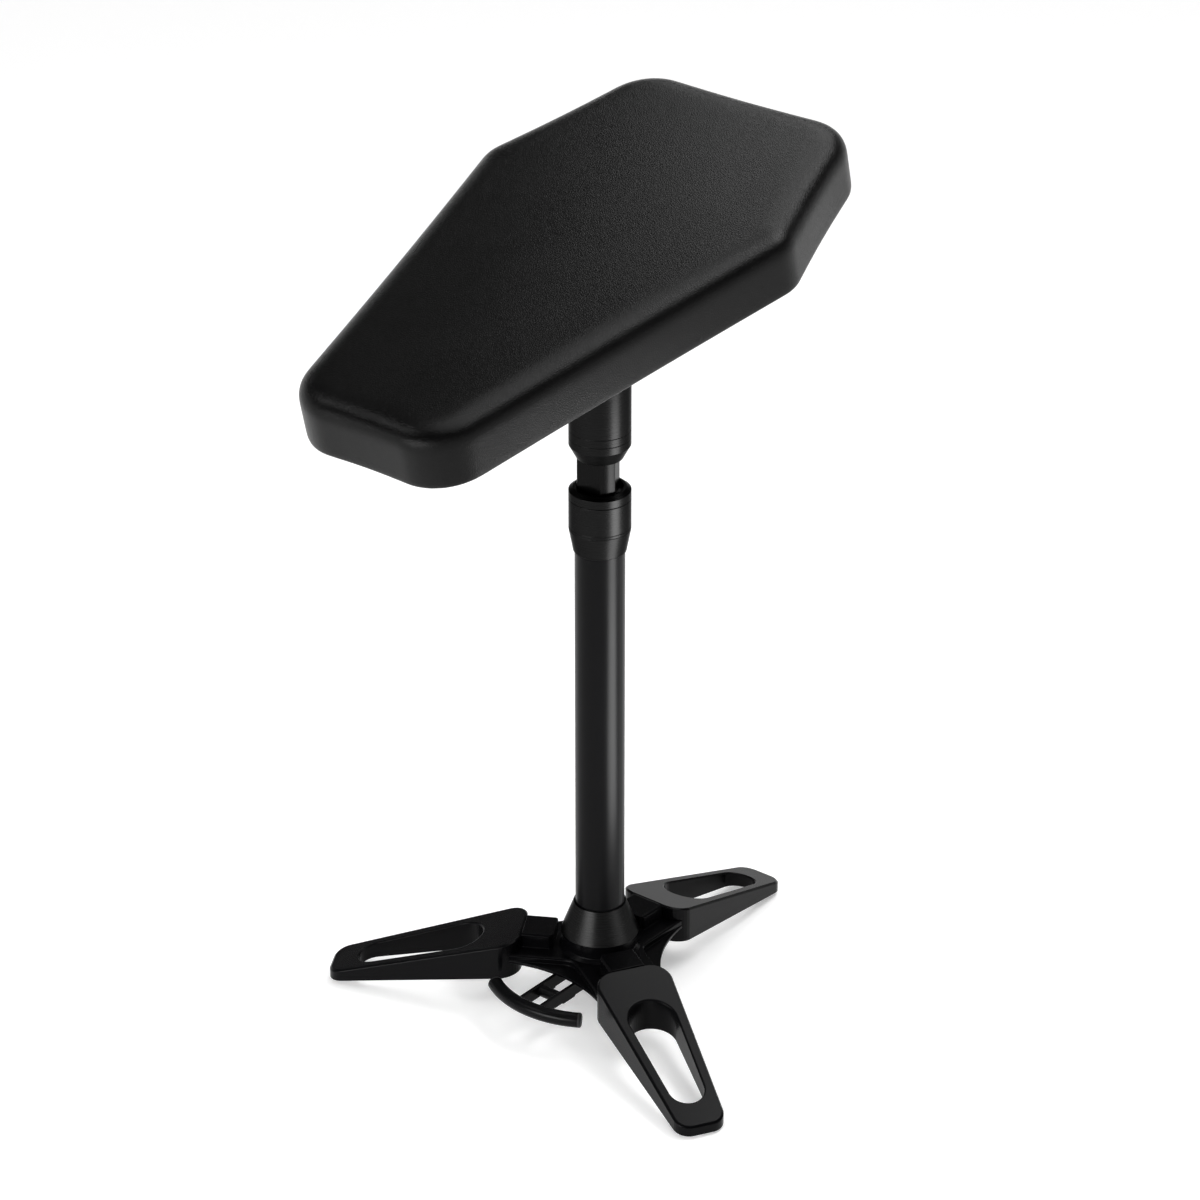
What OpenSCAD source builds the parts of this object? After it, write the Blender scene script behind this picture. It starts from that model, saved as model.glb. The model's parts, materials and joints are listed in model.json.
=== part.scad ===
// Tattoo arm rest stand: three-legged base, gas-sprung post with a foot pedal, tilting padded rest.
// Millimetres. The origin is on the column axis at the floor, +Z is up, the pad's head points
// to +Y and the pedal to -Y.

/* [Legs] */
// Distance from the column axis to the hub end of a leg
leg_hub_r = 66; // [65:0.5:72]
// Distance from the column axis to the toe of a leg
leg_toe_r = 236.4; // [225:0.2:270]
// Width of a leg at its hub end
leg_hub_w = 69.8; // [68:0.2:76]
// Width of a leg at its toe
leg_toe_w = 42.4; // [38:0.2:50]
// Corner radius at the hub end, in plan
leg_hub_corner = 17; // [14:0.5:20]
// Corner radius at the toe, in plan
leg_toe_corner = 13.5; // [8:0.5:17]
// Height of a leg's top at its hub end
leg_hub_top = 64.7; // [62:0.1:72]
// Height of a leg's top at its toe
leg_toe_top = 12; // [11:0.5:18]
// Height of a leg's underside at its hub end
leg_hub_under = 30.3; // [26:0.1:32]
// Height of a leg's underside at its toe
leg_toe_under = 2.9; // [2:0.1:4]
// Bevel round a leg's top
leg_bevel = 1.6; // [0.5:0.1:3]
// Distance from the column axis to the centre of the slot's wide end
slot_hub_r = 123.5; // [121:0.5:135]
// Radius of the slot's wide end
slot_hub_round = 20.9; // [14:0.1:22]
// Distance from the centre of the slot's narrow end to the toe
slot_toe_gap = 39.8; // [38:0.2:60]
// Radius of the slot's narrow end
slot_toe_round = 15.5; // [10:0.1:16]
// Bevel round the slot's top
slot_bevel = 1; // [0.4:0.1:2]

/* [Feet] */
// Distance from a foot's centre to the toe
foot_toe_gap = 15.4; // [13.4:0.2:18.4]
// Diameter of a foot
foot_d = 18; // [12:0.5:20]
// Height of a foot
foot_h = 7.4; // [6.8:0.1:9]
// Bevel round a foot's sole
foot_bevel = 0.8; // [0.3:0.1:1.5]

/* [Leg screws] */
// Distance from the column axis to the leg screws
leg_screw_r = 85; // [83:0.5:88]
// Distance between a leg's two screws
leg_screw_pitch = 24; // [16:1:30]
// Diameter of a leg screw
leg_screw_d = 6; // [4:0.5:8]
// Diameter of a leg screw's head
leg_screw_head_d = 10; // [9:0.5:12]
// Height of a leg screw's head
leg_screw_head_h = 6; // [4:0.5:7]
// Width of the hexagon socket in a leg screw
leg_screw_hex = 5; // [3:0.5:5]
// Metal between a leg screw's head and the mortise
leg_screw_wall = 6; // [4:0.5:7]

/* [Hub] */
// Height of the hub's underside
hub_under = 43; // [41:0.5:46]
// Thickness of the flange between the arms
flange_t = 2.5; // [2:0.1:5]
// Radius of the flange's hollow edges
flange_arc = 115; // [100:1:120]
// Distance from the column axis to the middle of the flange's hollow edges
flange_waist = 54; // [48:0.5:56]
// Thickness of an arm
arm_t = 8; // [7:0.1:9]
// Width of an arm
arm_w = 62.6; // [60:0.1:64]
// Bevel along an arm's top edges
arm_bevel = 1.2; // [0.4:0.1:2]
// Fillet between two arms
arm_fillet = 14; // [8:0.5:20]
// Width of the tenon in a leg
tenon_w = 48; // [42:0.5:52]
// Distance from the column axis to the tenon's end
tenon_end = 95; // [92:0.5:98]
// Distance from the column axis to a block's inner end
block_in = 38.5; // [37:0.5:45]
// Width of a block
block_w = 32.4; // [20:0.2:40]
// Height of a block
block_h = 13.4; // [8:0.1:15]
// Bevel along a block's top edges
block_bevel = 1.7; // [0.5:0.1:3]
// Cut across a block's inner corners
block_cut = 3.5; // [1:0.5:6]
// Diameter of the barrel that takes the cone
barrel_d = 64; // [62:0.5:68]
// Height of the barrel above the arms
barrel_h = 15.5; // [13:0.5:18]
// Flare at the barrel's foot
barrel_flare = 3; // [1:0.5:4]
// Thickness of the web under the tube
web_t = 8; // [6:0.5:9]
// Diameter of the recess in the hub's underside
recess_d = 36; // [33:0.5:37]

/* [Hub cone] */
// Diameter of the cone at its foot
cone_foot_d = 67; // [65:0.5:70]
// Diameter of the cone at its head
cone_head_d = 45; // [44.5:0.5:48]
// Height of the cone
cone_h = 28.7; // [24:0.1:40]
// Diameter of the spigot under the cone
spigot_d = 56; // [50:0.5:58]

/* [Column] */
// Outer diameter of the column tube
tube_d = 42; // [41.8:0.1:42.4]
// Wall of the column tube
tube_wall = 1.5; // [1.2:0.1:1.6]
// Length of the column tube
tube_l = 421; // [400:1:450]

/* [Collar] */
// Diameter of the collar
collar_d = 51.8; // [50:0.1:56]
// Diameter of the collar housing at its foot
collar_foot_d = 44.4; // [44:0.1:47]
// Length of the collar housing
collar_l = 48; // [44:0.5:60]
// How far the tube's end stands above the housing
tube_stand = 1; // [0.5:0.1:2]
// Distance from the housing's top to its upper fine line
collar_line_1 = 25; // [20:0.5:26]
// Distance from the housing's top to its lower fine line
collar_line_2 = 27.5; // [27:0.5:30]
// Width of a fine turned line
line_w = 0.6; // [0.3:0.1:0.8]
// Depth of a fine turned line
line_deep = 0.4; // [0.2:0.1:0.6]
// Height of the collar ring
ring_h = 10; // [9:0.5:14]
// Height of the collar ring's bevel
ring_bevel_h = 3; // [1:0.1:3.5]
// Diameter of the collar ring's top
ring_top_d = 44; // [42:0.1:46]
// Diameter of the hole in the collar ring
ring_hole_d = 38.8; // [38.4:0.1:40]
// Length of the guide bush in the tube
bush_l = 35; // [25:1:45]
// Thickness of the guide bush's rim
bush_rim = 4; // [2:0.5:4.5]

/* [Post] */
// Diameter of the post over its rounds
post_d = 37.9; // [37.5:0.1:38]
// Distance from the column axis to a flat of the post
post_flat = 14.4; // [14:0.1:15]
// Bore of the post
post_bore = 24; // [23.5:0.5:25]
// Length of the post
post_l = 358; // [340:1:370]
// Distance from the column tube's end to the foot of the head socket, in the pose of the photograph
post_out = 36; // [34:1:60]
// Length of the lower slide's pads
slide_l = 25; // [15:1:40]
// Thickness of the lower slide's base
slide_base = 8; // [5:0.5:12]

/* [Gas spring] */
// Diameter of the gas spring's rod
rod_d = 10; // [9:0.5:10]
// Length of the rod below its piston
rod_l = 284.5; // [270:0.5:300]
// Diameter of the rod's shoulder on the web
rod_shoulder_d = 16; // [13:0.5:20]
// Thickness of the rod's shoulder
rod_shoulder_t = 3; // [2:0.5:5]
// Diameter of the stub that holds the piston
rod_stub_d = 6; // [4:0.5:7]
// Length of the stub that holds the piston
rod_stub_l = 12; // [6:0.5:13]
// Depth of the bore for the valve pin
valve_bore_l = 49.5; // [48:0.5:60]
// Height of the piston
piston_h = 15; // [14:0.5:25]
// Width across the flats of the rod's nut
rod_nut_af = 17; // [15:0.5:17]
// Height of the rod's nut
rod_nut_h = 5; // [4:0.1:5.5]
// How far the rod's end stands below its nut
rod_stand = 0.5; // [0.2:0.1:1]
// Outer diameter of the gas cylinder
gas_d = 22; // [21:0.5:22]
// Wall of the gas cylinder
gas_wall = 1.2; // [1:0.1:1.5]
// Height of the gas cylinder's foot above the cone, in the pose of the photograph
gas_lift = 0.8; // [0:0.1:10]
// Thickness of the gas cylinder's head
gas_head_t = 6; // [4:0.5:12]
// Diameter of the stud on the gas cylinder
stud_d = 10; // [6:0.5:12]
// Length of the stud on the gas cylinder
stud_l = 10; // [6:0.5:11.5]
// Length of the gland in the gas cylinder
gland_l = 10; // [6:0.5:15]
// Height of the post's plug
plug_h = 12; // [12:0.5:20]
// Diameter of the valve pin
pin_d = 4; // [3:0.5:5]
// Length of the valve pin
pin_l = 42.5; // [40:0.5:44]
// How far the valve pin stands below the rod
pin_stand = 8; // [7:0.1:9]

/* [Head socket] */
// Diameter of the head socket
socket_d = 51.4; // [48:0.1:54]
// Diameter of the socket's foot
socket_foot_d = 39.2; // [38.8:0.1:42]
// Height of the bevel at the socket's foot
socket_bevel_h = 11.4; // [6:0.1:12]
// Height of the socket below the hinge tongue
socket_h = 88; // [70:1:100]
// How far the post reaches into the socket
socket_grip = 32; // [30:0.5:50]
// Height of the socket's lower fine line above its foot
socket_line_1 = 18; // [14:0.5:20]
// Height of the socket's upper fine line above its foot
socket_line_2 = 25; // [22:0.5:40]
// Diameter of a set screw in the socket
set_screw_d = 6; // [4:0.5:8]
// Length of a set screw
set_screw_l = 9.5; // [6:0.5:9.5]
// Height of the lower set screw above the socket's foot
set_screw_1 = 14; // [13:0.5:16]
// Height of the upper set screw above the socket's foot
set_screw_2 = 26; // [24:0.5:27]

/* [Tilt hinge] */
// Tilt of the pad in the pose of the photograph, in degrees
pad_tilt = 13.3; // [-10:0.1:50]
// Height of the hinge above the socket's body
hinge_rise = 36; // [30:0.5:45]
// Thickness of the hinge tongue
tongue_t = 24; // [16:0.5:28]
// Width of the hinge tongue
tongue_w = 32; // [26:0.5:36]
// Distance from the hinge axis to the pad's underside
hinge_drop = 32.9; // [30:0.1:40]
// Thickness of a friction washer
washer_t = 1; // [0.5:0.1:2]
// Diameter of a friction washer
washer_d = 30; // [22:0.5:30]
// Thickness of a bracket ear
ear_t = 5; // [3:0.5:6]
// Width of a bracket ear where it meets the plate
ear_w = 44; // [34:0.5:60]
// Diameter of a bracket ear round the bolt
ear_d = 30; // [22:0.5:30]
// Length of the bracket plate
bracket_l = 120; // [110:1:150]
// Width of the bracket plate
bracket_w = 84; // [80:1:110]
// Thickness of the bracket plate
bracket_t = 4; // [3:0.5:6]
// Corner radius of the bracket plate
bracket_corner = 8; // [2:0.5:12]
// Diameter of the tilt bolt
tilt_bolt_d = 10; // [8:0.5:12]
// Width across the flats of the tilt nut
tilt_nut_af = 17; // [15:0.5:19]
// Height of the tilt nut
tilt_nut_h = 8; // [6:0.5:10]
// How far the bolt's end stands beyond the nut
tilt_bolt_stand = 2; // [1:0.5:4]

/* [Clamp lever] */
// Diameter of the lever's hub
lever_hub_d = 20; // [17:0.5:24]
// Length of the lever from the bolt's axis
lever_l = 72; // [60:1:90]
// Diameter of the lever's arm at the hub
lever_arm_d = 10; // [8:0.5:11]
// Diameter of the lever's arm at its tip
lever_tip_d = 7; // [6:0.5:7.5]
// Diameter of the lever's grip
grip_d = 13; // [11:0.5:14]
// Length of the lever's grip
grip_l = 44; // [30:1:48]
// Gap between the lever and the side of the socket
lever_side_gap = 1.5; // [1:0.1:4]
// Metal beyond the bolt's end in the lever's hub
lever_cap_t = 5; // [3:0.5:8]

/* [Pad] */
// Length of the pad
pad_l = 502; // [480:1:540]
// Distance from the pad's head end to the hinge
pad_hinge_back = 219.8; // [210:0.2:250]
// Distance from the pad's head end to its shoulders
pad_shoulder_back = 158; // [140:1:180]
// Width of the pad at its head end
pad_head_w = 215; // [190:1:240]
// Width of the pad at its shoulders
pad_shoulder_w = 311; // [290:1:340]
// Width of the pad at its foot end
pad_foot_w = 155.5; // [140:0.5:190]
// Thickness of the pad at the edge of its top
pad_t = 52.6; // [45:0.1:65]
// Rise of the pad's crown in its middle
pad_crown = 2; // [1:0.1:6]
// Corner radius at the pad's ends
pad_end_round = 46; // [36:0.5:55]
// Corner radius at the pad's shoulders
pad_shoulder_round = 35; // [30:0.5:50]
// Height of the rolled top edge
roll_h = 17.4; // [10:0.1:25]
// Width of the rolled top edge
roll_w = 22; // [14:0.5:28]
// How far the pad's sides draw in between its corners
side_draw = 1.2; // [0.2:0.1:4]
// Height of the tucked bottom edge
tuck_h = 5; // [2:0.5:8]
// Depth of the tucked bottom edge
tuck_deep = 0.8; // [0.2:0.1:2]
// Thickness of the cushion's cover, and of the dust cover that lies flush with it
cover_t = 1; // [0.6:0.1:1.5]
// Width of the cover's lap under the board
cover_lap = 18; // [10:0.5:25]
// Distance from the pad's side to its board
board_inset = 4; // [3.5:0.1:8]
// Thickness of the board
board_t = 12; // [11:0.5:18]
// Distance between the bracket screws across the pad
bracket_screw_x = 64; // [62:1:66]
// Distance between the bracket screws along the pad
bracket_screw_y = 98; // [90:1:100]
// Diameter of a bracket screw
bracket_screw_d = 6; // [5:0.5:6.5]
// Diameter of a bracket screw's head
bracket_screw_head_d = 11; // [10:0.5:12]
// Height of a bracket screw's head
bracket_screw_head_h = 3.3; // [2.5:0.1:4]
// Length of a bracket screw under its head
bracket_screw_l = 15; // [10:0.5:15.5]
// Width of the hexagon socket in a bracket screw
bracket_screw_hex = 4; // [3:0.5:4]
// Diameter of a T-nut's barrel
t_nut_d = 8; // [7.5:0.5:9]
// Length of a T-nut's barrel
t_nut_l = 9; // [6:0.5:10]
// Diameter of a T-nut's flange
t_nut_flange_d = 19; // [15:0.5:22]
// Thickness of a T-nut's flange
t_nut_flange_t = 1.3; // [0.8:0.1:2]

/* [Pedal] */
// Distance from the column axis to the pedal's pin, towards the pedal
pivot_out = 22; // [21:0.5:24]
// Height of the pedal's pin
pivot_z = 33; // [32.5:0.1:34]
// Diameter of the pedal's pin
pivot_d = 8; // [6:0.5:8]
// Length of the pedal's pin
pivot_l = 41; // [40:0.5:46]
// Thickness of a hub ear
hub_ear_t = 5; // [4:0.5:6]
// Diameter of a hub ear
hub_ear_d = 14; // [12:0.5:14]
// Thickness of a pin clip
clip_t = 1; // [0.6:0.1:1.2]
// Diameter of a pin clip
clip_d = 12; // [10:0.5:12]
// Depth of a clip's groove in the pin
clip_groove = 0.7; // [0.4:0.1:1]
// Diameter of the pedal tube
pedal_d = 13; // [12:0.5:16]
// Wall of the pedal tube
pedal_wall = 1.5; // [1:0.1:2]
// Radius of the pedal tube's bow
pedal_bow = 89; // [84:0.5:95]
// Distance from the column axis to the bow's centre
pedal_centre = 9; // [5:0.5:12]
// Height of the pedal tube's centre
pedal_z = 33.5; // [32.5:0.1:34]
// Half of the angle of the bow, in degrees
pedal_half_angle = 32.5; // [26:0.5:36]
// Thickness of a pedal cap
cap_t = 3; // [2:0.5:5]
// Bevel round a pedal cap
cap_bevel = 1.2; // [0.5:0.1:2]
// Length of a pedal cap's spigot
cap_spigot_l = 7; // [4:0.5:8]
// Distance between the inner faces of the side plates
plate_gap = 18.8; // [18:0.1:19]
// Thickness of a side plate
plate_t = 3; // [2.5:0.1:3.2]
// Height of a side plate
plate_h = 11; // [10:0.5:12]
// How far the side plates reach behind the column axis
plate_back = 6; // [4:0.5:7]
// Distance from the column axis to the lug's outer end
lug_out = 65; // [60:0.5:70]
// Length of the lug under a side plate
lug_l = 16; // [8:0.5:20]
// Depth of the lug under a side plate
lug_h = 1.3; // [0.5:0.1:2]
// Distance from the column axis to the cross bar
cross_out = 68; // [60:0.5:75]
// Diameter of the cross bar
cross_d = 10.5; // [8:0.5:10.5]
// Diameter of the striker
striker_d = 6; // [5:0.5:7]

/* [Fits] */
// Radial gap of running fits, threads and seats
fit_gap = 0.05; // [0.02:0.01:0.08]
// Radial gap round screws in clearance holes
hole_gap = 0.3; // [0.2:0.05:0.5]
// Gap beside and beyond faces that pass each other
side_gap = 0.3; // [0.2:0.05:0.5]

/* [Hidden] */
$fn = 96;
cut_over = 2;
leg_angles = [-30, 210, 90];
flat_angles = [30, 150, 270];
waist_angles = [30, 150, 270];
hull_facets = 32;
slot_facets = 48;
hex_facets = 6;
pad_corner_steps = 5;
pad_side_steps = 3;
roll_steps = 5;
crown_shares = [0.78, 0.52, 0.26];

leg_fall = (leg_hub_top - leg_toe_top) / (leg_toe_r - leg_hub_r);
leg_rise = (leg_hub_under - leg_toe_under) / (leg_toe_r - leg_hub_r);
leg_splay = (leg_hub_w - leg_toe_w) / 2 / (leg_toe_r - leg_hub_r);
leg_hub_corner_r = leg_hub_r + leg_hub_corner;
leg_toe_corner_r = leg_toe_r - leg_toe_corner;
slot_toe_r = leg_toe_r - slot_toe_gap;
foot_r = leg_toe_r - foot_toe_gap;
leg_hub_corner_s = leg_half(leg_hub_corner_r) - leg_hub_corner * sqrt(1 + leg_splay * leg_splay);
leg_toe_corner_s = leg_half(leg_toe_corner_r) - leg_toe_corner * sqrt(1 + leg_splay * leg_splay);

arm_top = hub_under + arm_t;
arm_corner_s = arm_w / 2 - leg_hub_corner_s;
arm_shoulder = leg_hub_corner_r - sqrt(leg_hub_corner * leg_hub_corner - arm_corner_s * arm_corner_s);
fillet_centre = (arm_w / 2 + arm_fillet) / sin(60);
leg_screw_seat = hub_under - leg_screw_wall;
leg_screw_l = leg_screw_wall + arm_t - arm_bevel;
block_out = leg_hub_r - side_gap;
web_top = arm_top + web_t;
barrel_top = arm_top + barrel_h;
cone_top = barrel_top + cone_h;

tube_r = tube_d / 2;
tube_bore_r = tube_r - tube_wall;
tube_top = web_top + tube_l;
collar_top = tube_top - tube_stand;
collar_foot = collar_top - collar_l;
ring_top = collar_top + ring_h;
bush_top = tube_top + bush_rim;

post_r = post_d / 2;
socket_foot = tube_top + post_out;
post_top = socket_foot + socket_grip;
post_foot = post_top - post_l;
plug_foot = post_top - plug_h;
gas_foot = cone_top + gas_lift;
gas_l = plug_foot - gas_foot;
gas_bore_r = gas_d / 2 - gas_wall;
rod_foot = arm_top - rod_nut_h - rod_stand;
rod_top = rod_foot + rod_l;
pin_foot = rod_foot - pin_stand;
socket_top = socket_foot + socket_h;
hinge_z = socket_top + hinge_rise;

ear_in = tongue_t / 2 + washer_t + fit_gap;
ear_out = ear_in + ear_t;
plate_under = hinge_drop - bracket_t;
lever_x = socket_d / 2 + lever_side_gap + grip_d / 2;
bolt_end = lever_x + lever_arm_d / 2;
board_under = hinge_drop + cover_t;
board_top = board_under + board_t;
pad_head_y = pad_hinge_back;
pad_foot_y = pad_hinge_back - pad_l;
pad_shoulder_y = pad_hinge_back - pad_shoulder_back;
pad_corners = [
    [pad_foot_w / 2, pad_foot_y, pad_end_round],
    [pad_shoulder_w / 2, pad_shoulder_y, pad_shoulder_round],
    [pad_head_w / 2, pad_head_y, pad_end_round],
    [-pad_head_w / 2, pad_head_y, pad_end_round],
    [-pad_shoulder_w / 2, pad_shoulder_y, pad_shoulder_round],
    [-pad_foot_w / 2, pad_foot_y, pad_end_round]
];

hub_ear_in = plate_gap / 2 + plate_t + side_gap;
hub_ear_out = hub_ear_in + hub_ear_t;
striker_z = pin_foot - side_gap - striker_d / 2;
cap_turn = cap_t / pedal_bow * 180 / PI;

// Half width of a leg at a distance from the column axis
function leg_half(r) = leg_hub_w / 2 - (r - leg_hub_r) * leg_splay;
// Height of a leg's top at a distance from the column axis
function leg_top(r) = leg_hub_top - (r - leg_hub_r) * leg_fall;
// Height of a leg's underside at a distance from the column axis
function leg_under(r) = leg_hub_under - (r - leg_hub_r) * leg_rise;

// Layer of a leg's side view, from one line to another, as a slab across the leg
module leg_layer(low_hub, low_toe, high_drop) {
    near = leg_hub_r - leg_hub_corner;
    far = leg_toe_r + leg_toe_corner;
    rotate([90, 0, 0])
        linear_extrude(2 * leg_hub_w, center = true)
            polygon([
                [near, low_hub],
                [far, low_toe],
                [far, leg_top(far) - high_drop],
                [near, leg_top(near) - high_drop]
            ]);
}

// Posts in the four corners of a leg, cut off by its top and underside
module leg_posts(inset, drop) {
    near = leg_hub_r - leg_hub_corner;
    far = leg_toe_r + leg_toe_corner;
    intersection() {
        for (side = [-1, 1]) {
            translate([leg_hub_corner_r, side * leg_hub_corner_s, 0])
                cylinder(h = 2 * leg_hub_top, r = leg_hub_corner - inset, center = true, $fn = hull_facets);
            translate([leg_toe_corner_r, side * leg_toe_corner_s, 0])
                cylinder(h = 2 * leg_hub_top, r = leg_toe_corner - inset, center = true, $fn = hull_facets);
        }
        leg_layer(leg_under(near), leg_under(far), drop);
    }
}

// Posts at the slot's two ends, grown by a length
module slot_ends(grow) {
    translate([slot_hub_r, 0, -cut_over])
        cylinder(h = leg_hub_top, r = slot_hub_round + grow, $fn = slot_facets);
    translate([slot_toe_r, 0, -cut_over])
        cylinder(h = leg_hub_top, r = slot_toe_round + grow, $fn = slot_facets);
}

// The same posts, between two layers parallel to the leg's top
module slot_posts(grow, low_drop, high_drop) {
    near = leg_hub_r - leg_hub_corner;
    far = leg_toe_r + leg_toe_corner;
    intersection() {
        slot_ends(grow);
        leg_layer(leg_top(near) - low_drop, leg_top(far) - low_drop, high_drop);
    }
}

// One leg, with its hub end towards the column axis and its toe along +X
module leg() {
    notch_near = leg_hub_r - leg_hub_corner;
    difference() {
        hull() {
            leg_posts(0, leg_bevel);
            leg_posts(leg_bevel, 0);
        }
        hull()
            slot_ends(0);
        hull() {
            slot_posts(-slot_bevel, 2 * slot_bevel, 1.5 * slot_bevel);
            slot_posts(slot_bevel, 0, -slot_bevel);
        }
        translate([notch_near, -arm_w / 2 - side_gap / 2, hub_under])
            cube([arm_shoulder + side_gap / 2 - notch_near, arm_w + side_gap, arm_t + side_gap / 2]);
        translate([notch_near, -tenon_w / 2 - side_gap / 2, hub_under])
            cube([tenon_end + side_gap - notch_near, tenon_w + side_gap, arm_t + side_gap / 2]);
        for (side = [-1, 1])
            translate([leg_screw_r, side * leg_screw_pitch / 2, 0]) {
                cylinder(h = leg_screw_seat, d = leg_screw_head_d + 2 * hole_gap);
                cylinder(h = hub_under + cut_over, d = leg_screw_d + 2 * hole_gap);
            }
        translate([foot_r, 0, -cut_over])
            cylinder(h = foot_h + cut_over, d = foot_d + 2 * fit_gap);
    }
}

// One rubber foot under a toe
module foot() {
    translate([foot_r, 0, 0])
        rotate_extrude()
            polygon([
                [0, 0],
                [foot_d / 2 - foot_bevel, 0],
                [foot_d / 2, foot_bevel],
                [foot_d / 2, foot_h],
                [0, foot_h]
            ]);
}

module leg_front_right() {
    color("#2b2b2d")
        rotate([0, 0, leg_angles[0]])
            leg();
}

module leg_front_left() {
    color("#2b2b2d")
        rotate([0, 0, leg_angles[1]])
            leg();
}

module leg_rear() {
    color("#2b2b2d")
        rotate([0, 0, leg_angles[2]])
            leg();
}

module foot_front_right() {
    color("#141414")
        rotate([0, 0, leg_angles[0]])
            foot();
}

module foot_front_left() {
    color("#141414")
        rotate([0, 0, leg_angles[1]])
            foot();
}

module foot_rear() {
    color("#141414")
        rotate([0, 0, leg_angles[2]])
            foot();
}

// Six socket-head screws, up through the legs into the tenons
module leg_screws() {
    color("#8a8d91")
        for (turn = leg_angles, side = [-1, 1])
            rotate([0, 0, turn])
                translate([leg_screw_r, side * leg_screw_pitch / 2, leg_screw_seat])
                    difference() {
                        union() {
                            translate([0, 0, -leg_screw_head_h])
                                cylinder(h = leg_screw_head_h, d = leg_screw_head_d);
                            cylinder(h = leg_screw_l, d = leg_screw_d);
                        }
                        translate([0, 0, -leg_screw_head_h - cut_over])
                            cylinder(
                                h = leg_screw_head_h / 2 + cut_over,
                                d = leg_screw_hex / cos(30),
                                $fn = hex_facets
                            );
                    }
}

// Plan of the three tenons
module tenons_plan() {
    for (turn = leg_angles)
        rotate([0, 0, turn])
            translate([0, -tenon_w / 2])
                square([tenon_end, tenon_w]);
}

// Plan of the flange: everything inside the three hollow edges, and the tenons
module flange_plan() {
    difference() {
        for (turn = leg_angles)
            rotate([0, 0, turn])
                translate([0, -flange_waist])
                    square([arm_shoulder, 2 * flange_waist]);
        for (turn = waist_angles)
            rotate([0, 0, turn])
                translate([flange_waist + flange_arc, 0])
                    circle(flange_arc, $fn = 4 * $fn);
    }
    tenons_plan();
}

// Plan of the three arms with the fillets between them, and the tenons
module arms_plan() {
    for (turn = leg_angles)
        rotate([0, 0, turn])
            translate([0, -arm_w / 2])
                square([arm_shoulder, arm_w]);
    difference() {
        circle(norm([fillet_centre * cos(60), arm_w / 2]));
        for (turn = waist_angles)
            rotate([0, 0, turn])
                translate([fillet_centre, 0])
                    circle(arm_fillet);
    }
    tenons_plan();
}

// What the bevels take off the arms' top edges and the fillets
module arm_bevels() {
    for (turn = leg_angles, side = [0, 1])
        rotate([0, 0, turn])
            mirror([0, side, 0])
                translate([fillet_centre * cos(60), arm_w / 2, arm_top])
                    rotate([90, 0, 90])
                        linear_extrude(leg_toe_r)
                            polygon([[-arm_bevel, 0], [0, -arm_bevel], [arm_bevel, 0], [0, arm_bevel]]);
    for (turn = waist_angles)
        rotate([0, 0, turn])
            translate([fillet_centre, 0, arm_top - arm_bevel])
                cylinder(h = 2 * arm_bevel, r1 = arm_fillet, r2 = arm_fillet + 2 * arm_bevel);
}

// One block on an arm, against the leg's hub end
module block() {
    intersection() {
        translate([0, 0, arm_top])
            rotate([90, 0, 90])
                linear_extrude(block_out)
                    polygon([
                        [-block_w / 2, -arm_bevel],
                        [block_w / 2, -arm_bevel],
                        [block_w / 2, block_h - block_bevel],
                        [block_w / 2 - block_bevel, block_h],
                        [-block_w / 2 + block_bevel, block_h],
                        [-block_w / 2, block_h - block_bevel]
                    ]);
        linear_extrude(2 * leg_hub_top)
            polygon([
                [block_in, -block_w / 2 + block_cut],
                [block_in + block_cut, -block_w / 2],
                [block_out, -block_w / 2],
                [block_out, block_w / 2],
                [block_in + block_cut, block_w / 2],
                [block_in, block_w / 2 - block_cut]
            ]);
    }
}

// One hub ear for the pedal's pin, as an outline across the pin
module hub_ear_plan() {
    circle(d = hub_ear_d);
    translate([-hub_ear_d / 2, 0])
        square([hub_ear_d, hub_under - pivot_z + flange_t / 2]);
}

// Places its children on the pedal's pin, with their Z along +X
module on_pivot() {
    translate([0, -pivot_out, pivot_z])
        rotate([90, 0, 90])
            children();
}

module hub_spider() {
    color("#2f2f31")
        difference() {
            union() {
                translate([0, 0, hub_under])
                    linear_extrude(flange_t)
                        flange_plan();
                difference() {
                    translate([0, 0, hub_under + flange_t / 2])
                        linear_extrude(arm_t - flange_t / 2)
                            arms_plan();
                    arm_bevels();
                }
                for (turn = leg_angles)
                    rotate([0, 0, turn])
                        block();
                translate([0, 0, arm_top])
                    cylinder(h = barrel_h, d = barrel_d);
                translate([0, 0, arm_top])
                    cylinder(h = barrel_flare, r1 = barrel_d / 2 + barrel_flare, r2 = barrel_d / 2);
                on_pivot()
                    for (side = [0, 1])
                        mirror([0, 0, side])
                            translate([0, 0, hub_ear_in])
                                linear_extrude(hub_ear_t)
                                    hub_ear_plan();
            }
            translate([0, 0, hub_under - cut_over])
                cylinder(h = arm_t + cut_over, d = recess_d);
            translate([0, 0, hub_under])
                cylinder(h = 2 * barrel_top, r = rod_d / 2 + fit_gap);
            translate([0, 0, web_top])
                cylinder(h = 2 * barrel_h, r = spigot_d / 2 + fit_gap);
            for (turn = leg_angles, side = [-1, 1])
                rotate([0, 0, turn])
                    translate([leg_screw_r, side * leg_screw_pitch / 2, hub_under - cut_over])
                        cylinder(h = arm_t - arm_bevel / 2 + cut_over, r = leg_screw_d / 2 + fit_gap);
            on_pivot()
                cylinder(h = 2 * recess_d, r = pivot_d / 2 + fit_gap, center = true);
        }
}

module hub_cone() {
    color("#353538")
        difference() {
            union() {
                translate([0, 0, barrel_top])
                    cylinder(h = cone_h, d1 = cone_foot_d, d2 = cone_head_d);
                translate([0, 0, web_top + side_gap])
                    cylinder(h = barrel_top - web_top, d = spigot_d);
            }
            cylinder(h = 2 * cone_top, r = tube_r + fit_gap);
        }
}

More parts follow.
